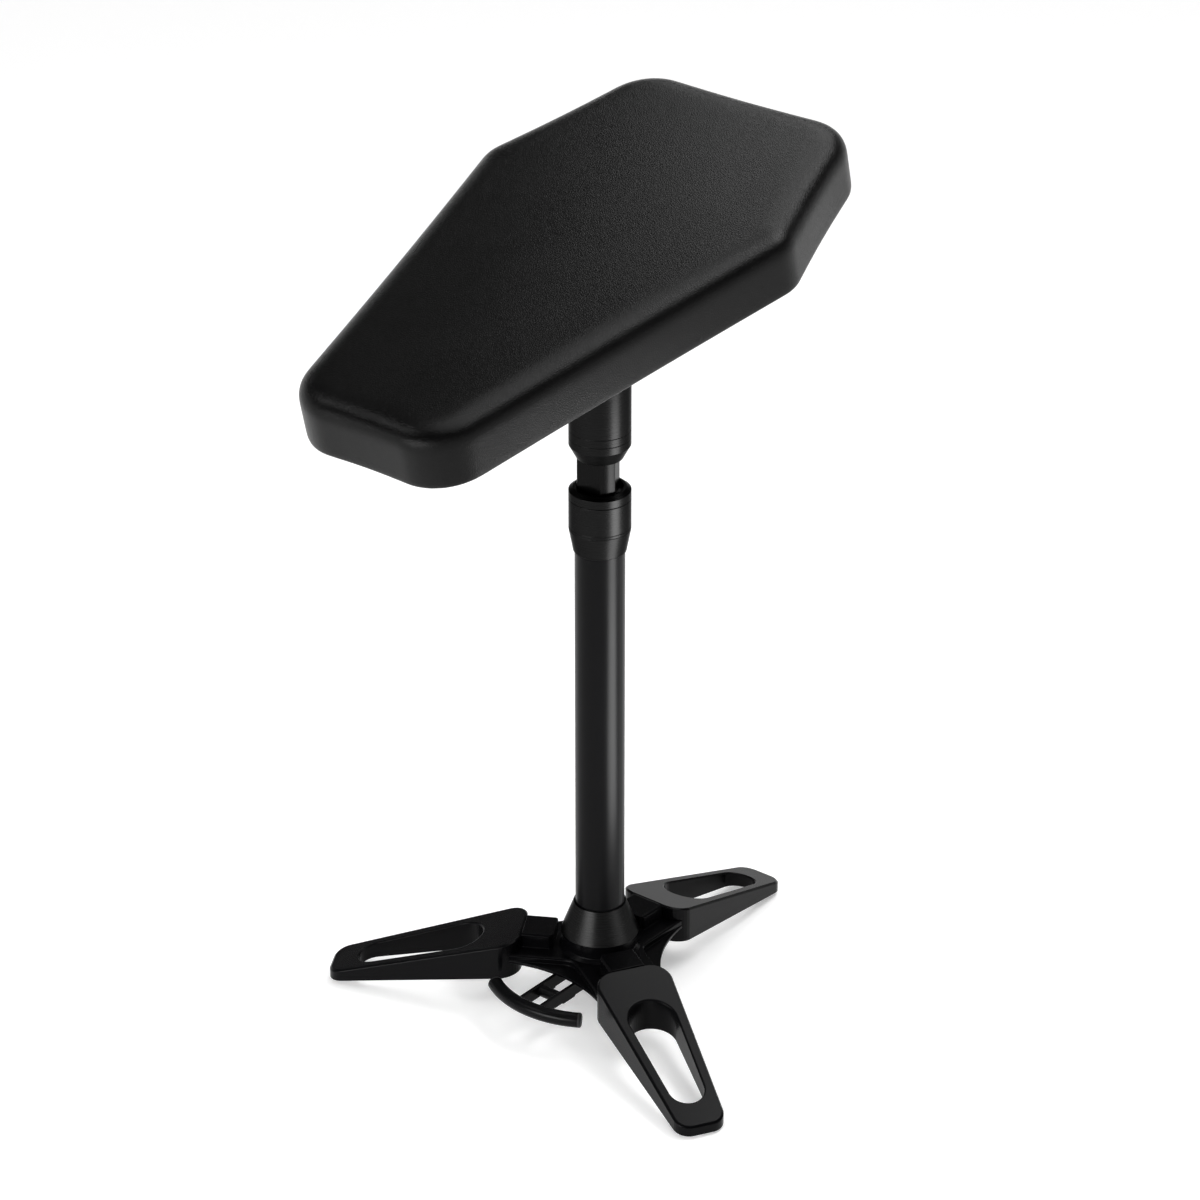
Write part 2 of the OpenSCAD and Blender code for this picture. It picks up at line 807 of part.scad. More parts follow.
module column_tube() {
    color("#232325")
        translate([0, 0, web_top])
            difference() {
                cylinder(h = tube_l, r = tube_r);
                translate([0, 0, -cut_over])
                    cylinder(h = tube_l + 2 * cut_over, r = tube_bore_r);
            }
}

// Tapered housing, with two fine lines and a small bevel at each end
module collar_housing() {
    line_1 = collar_top - collar_line_1;
    line_2 = collar_top - collar_line_2;
    collar_r = collar_d / 2;
    color("#333336")
        rotate_extrude()
            polygon([
                [tube_r + fit_gap, collar_foot],
                [collar_foot_d / 2 - line_deep, collar_foot],
                [collar_foot_d / 2, collar_foot + line_deep],
                [collar_r, line_2 - line_w / 2],
                [collar_r - line_deep, line_2],
                [collar_r, line_2 + line_w / 2],
                [collar_r, line_1 - line_w / 2],
                [collar_r - line_deep, line_1],
                [collar_r, line_1 + line_w / 2],
                [collar_r, collar_top - line_deep],
                [collar_r - line_deep, collar_top],
                [tube_r + fit_gap, collar_top]
            ]);
}

// Ring on the tube's end, which holds the guide bush down
module collar_ring() {
    collar_r = collar_d / 2;
    color("#3a3a3d")
        rotate_extrude()
            polygon([
                [tube_r + fit_gap, collar_top],
                [collar_r - line_deep, collar_top],
                [collar_r, collar_top + line_deep],
                [collar_r, ring_top - ring_bevel_h],
                [ring_top_d / 2, ring_top],
                [ring_hole_d / 2, ring_top],
                [ring_hole_d / 2, bush_top],
                [tube_r + fit_gap, bush_top]
            ]);
}

// Outline of the post, grown by a gap: a circle with three flats
module post_outline(gap) {
    difference() {
        circle(post_r + gap);
        for (turn = flat_angles)
            rotate([0, 0, turn])
                translate([post_flat + gap, -post_d])
                    square([post_d, 2 * post_d]);
    }
}

// Pads that fill the space between the post's flats and the tube's bore
module flat_pads() {
    difference() {
        circle(tube_bore_r - fit_gap);
        post_flats(fit_gap);
    }
}

// Three-sided space between the post's flats, without its rounds
module post_flats(gap) {
    difference() {
        circle(tube_d);
        for (turn = flat_angles)
            rotate([0, 0, turn])
                translate([post_flat + gap, -2 * tube_d])
                    square([2 * tube_d, 4 * tube_d]);
    }
}

module guide_bush() {
    color("#5a5a55")
        union() {
            translate([0, 0, tube_top - bush_l])
                linear_extrude(bush_l + bush_rim / 2)
                    flat_pads();
            translate([0, 0, tube_top])
                linear_extrude(bush_rim)
                    difference() {
                        circle(tube_r);
                        post_outline(fit_gap);
                    }
        }
}

module gas_rod() {
    color("#c9cbce")
        difference() {
            union() {
                translate([0, 0, rod_foot])
                    cylinder(h = rod_l, d = rod_d);
                translate([0, 0, web_top])
                    cylinder(h = rod_shoulder_t, d = rod_shoulder_d);
                translate([0, 0, rod_top])
                    cylinder(h = rod_stub_l, d = rod_stub_d);
            }
            translate([0, 0, rod_foot - cut_over])
                cylinder(h = valve_bore_l + cut_over, r = pin_d / 2 + fit_gap);
        }
}

module gas_piston() {
    color("#8f9296")
        translate([0, 0, rod_top])
            difference() {
                cylinder(h = piston_h, r = gas_bore_r - fit_gap);
                translate([0, 0, -cut_over])
                    cylinder(h = rod_stub_l + side_gap + cut_over, r = rod_stub_d / 2 + fit_gap);
            }
}

module rod_nut() {
    color("#9da0a4")
        translate([0, 0, arm_top - rod_nut_h])
            difference() {
                cylinder(h = rod_nut_h, d = rod_nut_af / cos(30), $fn = hex_facets);
                translate([0, 0, -cut_over])
                    cylinder(h = rod_nut_h + 2 * cut_over, r = rod_d / 2 + fit_gap);
            }
}

module valve_pin() {
    color("#d6d8da")
        translate([0, 0, pin_foot])
            cylinder(h = pin_l, d = pin_d);
}

// Places its children on both outer sides of the hub ears
module at_clips() {
    on_pivot()
        for (side = [0, 1])
            mirror([0, 0, side])
                translate([0, 0, hub_ear_out + side_gap])
                    children();
}

module pivot_pin() {
    color("#b5b8bb")
        difference() {
            on_pivot()
                cylinder(h = pivot_l, d = pivot_d, center = true);
            at_clips()
                difference() {
                    cylinder(h = clip_t, d = 2 * pivot_d);
                    translate([0, 0, -cut_over])
                        cylinder(h = clip_t + 2 * cut_over, r = pivot_d / 2 - clip_groove);
                }
        }
}

// Open rings in the grooves at the pin's ends
module pin_clips() {
    color("#77797c")
        at_clips()
            difference() {
                cylinder(h = clip_t, d = clip_d);
                translate([0, 0, -cut_over])
                    cylinder(h = clip_t + 2 * cut_over, r = pivot_d / 2 - clip_groove + fit_gap);
                translate([0, -pivot_d / 4, -cut_over])
                    cube([clip_d, pivot_d / 2, clip_t + 2 * cut_over]);
            }
}

// Places its children at one end of the pedal's bow, with their Z along the tube and outwards
module at_bow_end(side, half) {
    mirror([side, 0, 0])
        translate([0, -pedal_centre, pedal_z])
            rotate([0, 0, half - 90])
                translate([pedal_bow, 0, 0])
                    rotate([-90, 0, 0])
                        children();
}

// Bow of the pedal with a round section
module bow(radius, half) {
    translate([0, -pedal_centre, pedal_z])
        rotate([0, 0, -90 - half])
            rotate_extrude(angle = 2 * half)
                translate([pedal_bow, 0])
                    circle(radius);
}

module pedal_tube() {
    color("#2a2a2c")
        difference() {
            bow(pedal_d / 2, pedal_half_angle - cap_turn);
            bow(pedal_d / 2 - pedal_wall, pedal_half_angle);
        }
}

module pedal_caps() {
    color("#1b1b1b")
        for (side = [0, 1])
            at_bow_end(side, pedal_half_angle - cap_turn)
                rotate_extrude()
                    polygon([
                        [0, -cap_spigot_l],
                        [pedal_d / 2 - pedal_wall - side_gap, -cap_spigot_l],
                        [pedal_d / 2 - pedal_wall - side_gap, 0],
                        [pedal_d / 2, 0],
                        [pedal_d / 2, cap_t - cap_bevel],
                        [pedal_d / 2 - cap_bevel, cap_t],
                        [0, cap_t]
                    ]);
}

// Side view of a side plate: a bar with a round end behind, a boss on the pin and a lug below
module plate_side() {
    plate_low = pivot_z - plate_h / 2;
    far = pedal_centre + pedal_bow;
    translate([-far, plate_low])
        square([far + plate_back - plate_h / 2, plate_h]);
    translate([plate_back - plate_h / 2, pivot_z])
        circle(d = plate_h);
    translate([-pivot_out, pivot_z])
        circle(d = hub_ear_d);
    translate([-lug_out, plate_low - lug_h])
        square([lug_l, 2 * lug_h]);
}

// One side plate, coped round the pedal tube
module side_plate() {
    difference() {
        translate([plate_gap / 2, 0, 0])
            rotate([90, 0, 90])
                linear_extrude(plate_t)
                    plate_side();
        bow(pedal_d / 2 + fit_gap, pedal_half_angle);
        translate([0, -pedal_centre, pedal_z])
            difference() {
                cylinder(h = 2 * plate_h, r = 2 * pedal_bow, center = true);
                cylinder(h = 4 * plate_h, r = pedal_bow, center = true);
            }
        on_pivot()
            cylinder(h = 2 * recess_d, r = pivot_d / 2 + fit_gap, center = true);
        at_striker()
            cylinder(h = recess_d, r = striker_d / 2 + fit_gap, center = true);
    }
}

// Places its children on the striker's axis, with their Z along +X
module at_striker() {
    translate([0, 0, striker_z])
        rotate([90, 0, 90])
            children();
}

module pedal_plate_right() {
    color("#303032")
        side_plate();
}

module pedal_plate_left() {
    color("#303032")
        mirror([1, 0, 0])
            side_plate();
}

module pedal_cross() {
    color("#3b3b3e")
        translate([0, -cross_out, pivot_z])
            rotate([90, 0, 90])
                cylinder(h = plate_gap, d = cross_d, center = true);
}

module striker() {
    color("#a6a9ac")
        at_striker()
            cylinder(h = plate_gap + 2 * plate_t, d = striker_d, center = true);
}

module post() {
    color("#202022")
        translate([0, 0, post_foot])
            linear_extrude(post_l)
                difference() {
                    post_outline(0);
                    circle(d = post_bore);
                }
}

module lower_slide() {
    color("#5a5a55")
        union() {
            translate([0, 0, post_foot - slide_base])
                linear_extrude(slide_base)
                    difference() {
                        circle(tube_bore_r - fit_gap);
                        circle(gas_d / 2 + side_gap);
                    }
            translate([0, 0, post_foot - slide_base / 2])
                linear_extrude(slide_l + slide_base / 2)
                    flat_pads();
        }
}

module gas_cylinder() {
    color("#4a4c50")
        difference() {
            union() {
                translate([0, 0, gas_foot])
                    cylinder(h = gas_l, d = gas_d);
                translate([0, 0, plug_foot])
                    cylinder(h = stud_l, d = stud_d);
            }
            translate([0, 0, gas_foot - cut_over])
                cylinder(h = gas_l - gas_head_t + cut_over, r = gas_bore_r);
        }
}

module cylinder_gland() {
    color("#b08d57")
        translate([0, 0, gas_foot])
            difference() {
                cylinder(h = gland_l, r = gas_bore_r - fit_gap);
                translate([0, 0, -cut_over])
                    cylinder(h = gland_l + 2 * cut_over, r = rod_d / 2 + fit_gap);
            }
}

module post_plug() {
    color("#85888c")
        translate([0, 0, plug_foot])
            difference() {
                cylinder(h = plug_h, r = post_bore / 2 - fit_gap);
                translate([0, 0, -cut_over])
                    cylinder(h = plug_h + 2 * cut_over, r = stud_d / 2 + fit_gap);
            }
}

// Places its children at the two set screws, with their Z pointing out of the socket
module at_set_screws() {
    for (height = [set_screw_1, set_screw_2])
        translate([0, 0, socket_foot + height])
            rotate([0, 90, flat_angles[1]])
                children();
}

// Turned socket with a bevelled foot and two fine lines, and the hinge tongue on top
module head_socket() {
    socket_r = socket_d / 2;
    low_line = socket_foot + socket_line_1;
    high_line = socket_foot + socket_line_2;
    color("#2e2e30")
        difference() {
            union() {
                rotate_extrude()
                    polygon([
                        [0, socket_foot],
                        [socket_foot_d / 2, socket_foot],
                        [socket_r, socket_foot + socket_bevel_h],
                        [socket_r, low_line - line_w / 2],
                        [socket_r - line_deep, low_line],
                        [socket_r, low_line + line_w / 2],
                        [socket_r, high_line - line_w / 2],
                        [socket_r - line_deep, high_line],
                        [socket_r, high_line + line_w / 2],
                        [socket_r, socket_top - line_w],
                        [socket_r - line_w, socket_top],
                        [0, socket_top]
                    ]);
                translate([0, 0, hinge_z])
                    rotate([90, 0, 90])
                        linear_extrude(tongue_t, center = true) {
                            circle(d = tongue_w);
                            translate([-tongue_w / 2, -hinge_rise - line_w])
                                square([tongue_w, hinge_rise + line_w]);
                        }
            }
            translate([0, 0, socket_foot - cut_over])
                linear_extrude(socket_grip + cut_over)
                    post_outline(fit_gap);
            at_set_screws()
                cylinder(h = socket_d, r = set_screw_d / 2 + fit_gap);
            translate([0, 0, hinge_z])
                rotate([0, 90, 0])
                    cylinder(h = 2 * tongue_t, r = tilt_bolt_d / 2 + fit_gap, center = true);
        }
}

module socket_screws() {
    color("#8a8d91")
        at_set_screws()
            translate([0, 0, post_flat])
                difference() {
                    cylinder(h = set_screw_l, d = set_screw_d);
                    translate([0, 0, set_screw_l / 2])
                        cylinder(h = set_screw_l, d = set_screw_d / 2, $fn = hex_facets);
                }
}

// Places its children in the pad's own frame, with its origin on the hinge axis
module in_pad() {
    translate([0, 0, hinge_z])
        rotate([pad_tilt, 0, 0])
            children();
}

// Places its children at the four bracket screws, at the bracket plate's underside
module at_bracket_screws() {
    for (x = [-bracket_screw_x / 2, bracket_screw_x / 2], y = [-bracket_screw_y / 2, bracket_screw_y / 2])
        translate([x, y, plate_under])
            children();
}

// Welded bracket: a plate with two ears for the tilt bolt
module pad_bracket() {
    color("#2c2c2e")
        in_pad()
            difference() {
                union() {
                    translate([0, 0, plate_under])
                        linear_extrude(bracket_t)
                            bracket_plan();
                    for (side = [0, 1])
                        mirror([side, 0, 0])
                            translate([ear_in, 0, 0])
                                rotate([90, 0, 90])
                                    linear_extrude(ear_t) {
                                        circle(d = ear_d);
                                        polygon([
                                            [-ear_d / 2, 0],
                                            [ear_d / 2, 0],
                                            [ear_w / 2, plate_under + bracket_t / 2],
                                            [-ear_w / 2, plate_under + bracket_t / 2]
                                        ]);
                                    }
                }
                rotate([0, 90, 0])
                    cylinder(h = bracket_w, r = tilt_bolt_d / 2 + fit_gap, center = true);
                at_bracket_screws()
                    translate([0, 0, -cut_over])
                        cylinder(h = bracket_t + 2 * cut_over, r = bracket_screw_d / 2 + hole_gap);
            }
}

// Plan of the bracket plate: a rectangle with round corners
module bracket_plan() {
    x = bracket_w / 2 - bracket_corner;
    y = bracket_l / 2 - bracket_corner;
    square([bracket_w, 2 * y], center = true);
    square([2 * x, bracket_l], center = true);
    for (a = [-x, x], b = [-y, y])
        translate([a, b])
            circle(bracket_corner);
}

module friction_washers() {
    color("#d8d4c8")
        in_pad()
            for (side = [0, 1])
                mirror([side, 0, 0])
                    translate([ear_in - washer_t, 0, 0])
                        rotate([0, 90, 0])
                            difference() {
                                cylinder(h = washer_t, d = washer_d);
                                translate([0, 0, -washer_t])
                                    cylinder(h = 3 * washer_t, r = tilt_bolt_d / 2 + fit_gap);
                            }
}

module tilt_bolt() {
    color("#aeb1b4")
        in_pad()
            translate([-bolt_end, 0, 0])
                rotate([0, 90, 0])
                    cylinder(h = bolt_end + ear_out + tilt_nut_h + tilt_bolt_stand, d = tilt_bolt_d);
}

module tilt_nut() {
    color("#9da0a4")
        in_pad()
            translate([ear_out, 0, 0])
                rotate([0, 90, 0])
                    difference() {
                        cylinder(h = tilt_nut_h, d = tilt_nut_af / cos(30), $fn = hex_facets);
                        translate([0, 0, -cut_over])
                            cylinder(h = tilt_nut_h + 2 * cut_over, r = tilt_bolt_d / 2 + fit_gap);
                    }
}

// Clamp lever: a hub on the bolt's end and a tapered arm towards the pad's foot
module lock_lever() {
    color("#1f1f21")
        in_pad()
            difference() {
                union() {
                    translate([-bolt_end - lever_cap_t, 0, 0])
                        rotate([0, 90, 0])
                            cylinder(h = bolt_end + lever_cap_t - ear_out, d = lever_hub_d);
                    translate([-lever_x, 0, 0])
                        rotate([90, 0, 0])
                            cylinder(h = lever_l - side_gap, d1 = lever_arm_d, d2 = lever_tip_d);
                }
                translate([-bolt_end - side_gap, 0, 0])
                    rotate([0, 90, 0])
                        cylinder(h = 2 * bolt_end, r = tilt_bolt_d / 2 + fit_gap);
            }
}

// Grip over the lever's arm, with a round end
module lever_grip() {
    arm_r = lever_arm_d / 2;
    tip_r = lever_tip_d / 2;
    taper = (arm_r - tip_r) / (lever_l - side_gap);
    start = lever_l - grip_l;
    color("#151515")
        in_pad()
            translate([-lever_x, 0, 0])
                rotate([90, 0, 0])
                    difference() {
                        union() {
                            translate([0, 0, start])
                                cylinder(h = grip_l, d1 = lever_arm_d + tip_r, d2 = grip_d);
                            translate([0, 0, lever_l])
                                sphere(d = grip_d);
                        }
                        translate([0, 0, start - cut_over])
                            cylinder(
                                h = grip_l + cut_over,
                                r1 = arm_r - taper * (start - cut_over) + fit_gap,
                                r2 = arm_r - taper * lever_l + fit_gap
                            );
                    }
}

module bracket_screws() {
    color("#8a8d91")
        in_pad()
            at_bracket_screws()
                difference() {
                    union() {
                        translate([0, 0, -bracket_screw_head_h])
                            cylinder(
                                h = bracket_screw_head_h,
                                d1 = bracket_screw_head_d - bracket_screw_head_h,
                                d2 = bracket_screw_head_d
                            );
                        cylinder(h = bracket_screw_l, d = bracket_screw_d);
                    }
                    translate([0, 0, -bracket_screw_head_h - cut_over])
                        cylinder(
                            h = bracket_screw_head_h / 2 + cut_over,
                            d = bracket_screw_hex / cos(30),
                            $fn = hex_facets
                        );
                }
}

// Flanged nuts, let into the board from its top
module t_nuts() {
    color("#b9a468")
        in_pad()
            at_bracket_screws()
                translate([0, 0, board_top - plate_under])
                    difference() {
                        union() {
                            translate([0, 0, -t_nut_l])
                                cylinder(h = t_nut_l, d = t_nut_d);
                            cylinder(h = t_nut_flange_t, d = t_nut_flange_d);
                        }
                        translate([0, 0, -t_nut_l - cut_over])
                            cylinder(h = 2 * t_nut_l, r = bracket_screw_d / 2 + fit_gap);
                    }
}

// Unit normal that points out of the pad from the side after a corner
function side_normal(i) =
    let (a = pad_corners[i % 6], b = pad_corners[(i + 1) % 6], d = [b[0] - a[0], b[1] - a[1]])
    [d[1], -d[0]] / norm(d);

// Point on the round of a corner, inset from the pad's outline, at a share of its turn
function corner_point(i, inset, t) =
    let (
        n = side_normal((i + 5) % 6),
        m = side_normal(i),
        reach = (n + m) / (1 + n * m),
        least = pad_shoulder_round / 8,
        round = max(pad_corners[i][2] - inset, least),
        centre = [pad_corners[i][0], pad_corners[i][1]] - reach * (inset + round),
        start = atan2(n[1], n[0]),
        turn = acos(n * m),
        angle = start + turn * t
    )
    centre + round * [cos(angle), sin(angle)];

// Point along the side after a corner, drawn in between the corners
function side_point(i, inset, draw, t) =
    corner_point(i, inset, 1) * (1 - t) + corner_point((i + 1) % 6, inset, 0) * t
        - side_normal(i) * draw * sin(180 * t);

// Outline of the pad, inset from its widest, with its sides drawn in
function pad_outline(inset, draw) = [
    for (i = [0:5])
        each [
            for (k = [0:pad_corner_steps])
                corner_point(i, inset, k / pad_corner_steps),
            for (k = [1:pad_side_steps - 1])
                side_point(i, inset, draw, k / pad_side_steps)
        ]
];

// Rings of the cushion, from the tucked bottom edge over the roll to the crown
function lifted(outline, height) = [for (p = outline) [p[0], p[1], height]];
function shrunk(outline, share, middle) = [for (p = outline) middle + (p - middle) * share];

// Closed form of the cushion, taken in from its outside by a skin all round
module pad_form(skin) {
    rim = pad_outline(roll_w + skin, side_draw);
    middle = [0, (pad_head_y + pad_foot_y) / 2];
    side_top = hinge_drop + pad_t - roll_h - skin;
    edge_top = hinge_drop + pad_t - skin;
    rings = [
        lifted(pad_outline(tuck_deep + skin, side_draw), hinge_drop + skin),
        lifted(pad_outline(tuck_deep / 4 + skin, side_draw), hinge_drop + tuck_h / 2 + skin / 2),
        lifted(pad_outline(skin, side_draw), hinge_drop + tuck_h),
        for (k = [0:roll_steps])
            let (a = 90 * k / roll_steps)
            lifted(pad_outline(roll_w * (1 - cos(a)) + skin, side_draw), side_top + roll_h * sin(a)),
        for (share = crown_shares)
            lifted(shrunk(rim, share, middle), edge_top + pad_crown * (1 - share * share))
    ];
    count = len(rim);
    last = len(rings) - 1;
    points = [each [for (ring = rings) each ring], [middle[0], middle[1], edge_top + pad_crown]];
    faces = [
        [for (k = [0:count - 1]) k],
        for (r = [0:last - 1], k = [0:count - 1])
            let (a = r * count + k, b = r * count + (k + 1) % count)
            each [[a, a + count, b], [b, a + count, b + count]],
        for (k = [0:count - 1])
            [last * count + k, len(points) - 1, last * count + (k + 1) % count]
    ];
    polyhedron(points, faces);
}

// Space under a height, inside the pad's outline
module space_under(height, inset) {
    translate([0, 0, hinge_drop - cut_over])
        linear_extrude(height - hinge_drop + cut_over)
            polygon(pad_outline(inset, side_draw));
}

module cushion_cover() {
    color("#1c1c1c")
        in_pad()
            difference() {
                pad_form(0);
                pad_form(cover_t);
                space_under(board_under + cut_over, cover_lap);
            }
}

module cushion_foam() {
    color("#d9d2b8")
        in_pad()
            difference() {
                pad_form(cover_t + side_gap);
                space_under(board_top, board_inset - side_gap);
                at_bracket_screws()
                    cylinder(
                        h = board_top + t_nut_flange_t + side_gap - plate_under,
                        r = t_nut_flange_d / 2 + side_gap
                    );
            }
}

module pad_board() {
    color("#c49a6c")
        in_pad()
            difference() {
                translate([0, 0, board_under])
                    linear_extrude(board_t)
                        polygon(pad_outline(board_inset, side_draw));
                at_bracket_screws()
                    cylinder(h = 2 * board_top, r = t_nut_d / 2 + fit_gap);
            }
}

module dust_cover() {
    color("#3d3d3d")
        in_pad()
            difference() {
                translate([0, 0, hinge_drop])
                    linear_extrude(cover_t)
                        polygon(pad_outline(cover_lap + side_gap, side_draw));
                at_bracket_screws()
                    cylinder(h = board_top, r = t_nut_d / 2 + hole_gap);
            }
}

leg_front_right();
leg_front_left();
leg_rear();
foot_front_right();
foot_front_left();
foot_rear();
leg_screws();
hub_spider();
hub_cone();
column_tube();
collar_housing();
collar_ring();
guide_bush();
gas_rod();
gas_piston();
rod_nut();
valve_pin();
pivot_pin();
pin_clips();
pedal_tube();
pedal_caps();
pedal_plate_right();
pedal_plate_left();
pedal_cross();
striker();
post();
lower_slide();
gas_cylinder();
cylinder_gland();
post_plug();
head_socket();
socket_screws();
pad_bracket();
friction_washers();
tilt_bolt();
tilt_nut();
lock_lever();
lever_grip();
bracket_screws();
t_nuts();
pad_board();
cushion_foam();
cushion_cover();
dust_cover();
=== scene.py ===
"""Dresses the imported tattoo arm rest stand: covered pad, stapled underside, finishes and a plain studio.

Metres, in the frame of the CAD model: the column stands on the origin, the pad's head points to +Y and the
pedal to -Y.
"""

import json
import math

import bmesh
import bpy
import numpy as np
from bpy.props import FloatProperty, FloatVectorProperty, IntProperty, PointerProperty
from mathutils import Matrix, Vector, noise


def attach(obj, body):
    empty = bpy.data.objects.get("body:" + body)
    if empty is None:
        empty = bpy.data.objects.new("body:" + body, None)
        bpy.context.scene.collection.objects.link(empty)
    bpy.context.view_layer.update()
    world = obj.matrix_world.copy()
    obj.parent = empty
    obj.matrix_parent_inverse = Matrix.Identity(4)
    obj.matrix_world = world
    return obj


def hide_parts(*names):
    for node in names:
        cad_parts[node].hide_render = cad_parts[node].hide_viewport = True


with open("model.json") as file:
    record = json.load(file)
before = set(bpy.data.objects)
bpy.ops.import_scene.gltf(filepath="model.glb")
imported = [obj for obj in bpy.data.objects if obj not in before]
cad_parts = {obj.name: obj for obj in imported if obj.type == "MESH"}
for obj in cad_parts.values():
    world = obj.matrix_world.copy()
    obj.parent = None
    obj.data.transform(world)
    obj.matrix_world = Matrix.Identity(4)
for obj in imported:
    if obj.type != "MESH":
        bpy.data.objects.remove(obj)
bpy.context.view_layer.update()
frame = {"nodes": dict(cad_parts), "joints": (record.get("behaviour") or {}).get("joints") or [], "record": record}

bl_info = {
    "name": "Tattoo arm rest stand",
    "version": (1, 0, 0),
    "blender": (4, 5, 0),
    "location": "3D View > Sidebar > Arm rest",
    "description": "Covers the pad of a tattoo arm rest stand, finishes its parts and sets up a studio",
    "category": "Object",
}

HINGE = Vector(next(j for j in frame["joints"] if j["name"] == "pad_tilt")["pos_m"])

# Steps of the pad's outline round a corner and along a side, and the corners at its head and foot.
CORNER_STEPS = 12
SIDE_STEPS = 24
END_CORNERS = (0, 2, 3, 5)

# Steps of the cushion's section.
LAP_STEPS = 4
SIDE_RISES = 6
ROLL_STEPS = 14
# A rolled edge with this power is a little fuller than a quarter of an ellipse.
ROLL_FULLNESS = 0.8

# Pleats of the lap where the cover is folded round a corner.
END_FOLDS = 5
SHOULDER_FOLDS = 2
PLEAT_DEPTH = 0.0011
PLEAT_RINGS = 5

# The stuffing simulation: a firm cover under gentle pressure.
CLOTH = {
    "quality": 6,
    "mass": 0.4,
    "tension_stiffness": 60,
    "compression_stiffness": 60,
    "shear_stiffness": 30,
    "bending_stiffness": 12,
    "use_pressure": True,
    "uniform_pressure_force": 0.6,
}
CLOTH_FRAMES = 20
# The cover is held at the tuck, and wholly free this far above it.
FREE_ABOVE = 0.012
# Rounds of evening out the travel between neighbours.
EVENING_ROUNDS = 24

# Staples run at this share of the hem's width from its edge. They stray from that line, in metres, and turn,
# in radians, by up to this much.
STAPLE_LINE = 0.4
STAPLE_STRAY = 0.0006
STAPLE_TURN = 0.14


def size(name, default, description):
    """A length that a user may change."""
    return FloatProperty(
        name=name, default=default, description=description,
        min=0, unit="LENGTH", subtype="DISTANCE", precision=4,
    )


def lamp_power(name, default, description):
    """A lamp's power that a user may change."""
    return FloatProperty(name=name, default=default, description=description, unit="POWER")


def rgb(code):
    """Linear red, green and blue of an sRGB hex colour."""
    shares = [int(code[i : i + 2], 16) / 255 for i in (1, 3, 5)]
    return [s / 12.92 if s <= 0.04045 else ((s + 0.055) / 1.055) ** 2.4 for s in shares]


def colour(name, code, description):
    """A colour that a user may change, kept as linear light."""
    return FloatVectorProperty(
        name=name, default=rgb(code), description=description, min=0, max=1, size=3, subtype="COLOR"
    )


class PadSizes(bpy.types.PropertyGroup):
    """Sizes of the pad: those of the CAD source, with a fuller rolled edge, as stuffing rounds it."""

    tilt: FloatProperty(
        name="Tilt", default=math.radians(13.3), description="Tilt of the pad at rest, head up",
        subtype="ANGLE",
    )
    length: size("Length", 0.502, "Length of the pad")
    hinge_back: size("Head to hinge", 0.2198, "From the head end to the hinge")
    shoulder_back: size("Head to shoulders", 0.158, "From the head end to the shoulders")
    head_width: size("Head width", 0.215, "Width at the head end")
    shoulder_width: size("Shoulder width", 0.311, "Width at the shoulders")
    foot_width: size("Foot width", 0.1555, "Width at the foot end")
    end_round: size("End rounds", 0.046, "Corner radius at the ends")
    shoulder_round: size("Shoulder rounds", 0.035, "Corner radius at the shoulders")
    underside: size("Underside", 0.0329, "From the hinge to the pad's underside")
    thickness: size("Thickness", 0.0526, "From the underside to the edge of the top")
    crown: size("Crown", 0.002, "Rise of the top in its middle")
    roll_width: size("Roll width", 0.027, "Width of the rolled top edge")
    roll_height: size("Roll height", 0.0205, "Height of the rolled top edge")
    draw: size("Draw of the sides", 0.0012, "How far the sides pull in between the corners")
    tuck_height: size("Tuck height", 0.005, "Height of the tucked bottom edge")
    tuck_depth: size("Tuck depth", 0.0008, "Depth of the tucked bottom edge")
    cover: size("Cover", 0.001, "Thickness of the cover")
    lap: size("Lap", 0.018, "Width of the cover's lap under the board")
    across: IntProperty(name="Faces across", default=44, description="Faces across the pad's top", min=8)
    along: IntProperty(name="Faces along", default=104, description="Faces along the pad's top", min=16)
    swell: size("Swell", 0.0008, "The furthest that the stuffing may push the cover")


class UndersideSizes(bpy.types.PropertyGroup):
    """Sizes of what is fixed under the pad."""

    overlap: size("Overlap", 0.006, "How far the dust cloth reaches over the cover's lap")
    cloth: size("Cloth", 0.0004, "Thickness of the dust cloth")
    hem: size("Hem", 0.014, "Width of the dust cloth's folded hem")
    spacing: size("Staple spacing", 0.034, "Distance between two staples")
    staple_width: size("Staple width", 0.0105, "Width of a staple's crown")
    wire: size("Staple wire", 0.0009, "Thickness of a staple's wire")


class FinishColours(bpy.types.PropertyGroup):
    """Colours of the finishes that show."""

    leatherette: colour("Leatherette", "#0a0a0a", "Cover of the pad")
    casting: colour("Castings", "#060607", "Powder coat of the legs and the hub")
    turned: colour("Turned parts", "#1c1c1c", "Anodised cone, collar and head")
    post: colour("Post", "#181818", "Anodised post")
    tube: colour("Tube", "#070708", "Powder coat of the column tube")
    steel: colour("Coated steel", "#0a0a0b", "Powder coat of the pedal and bracket")


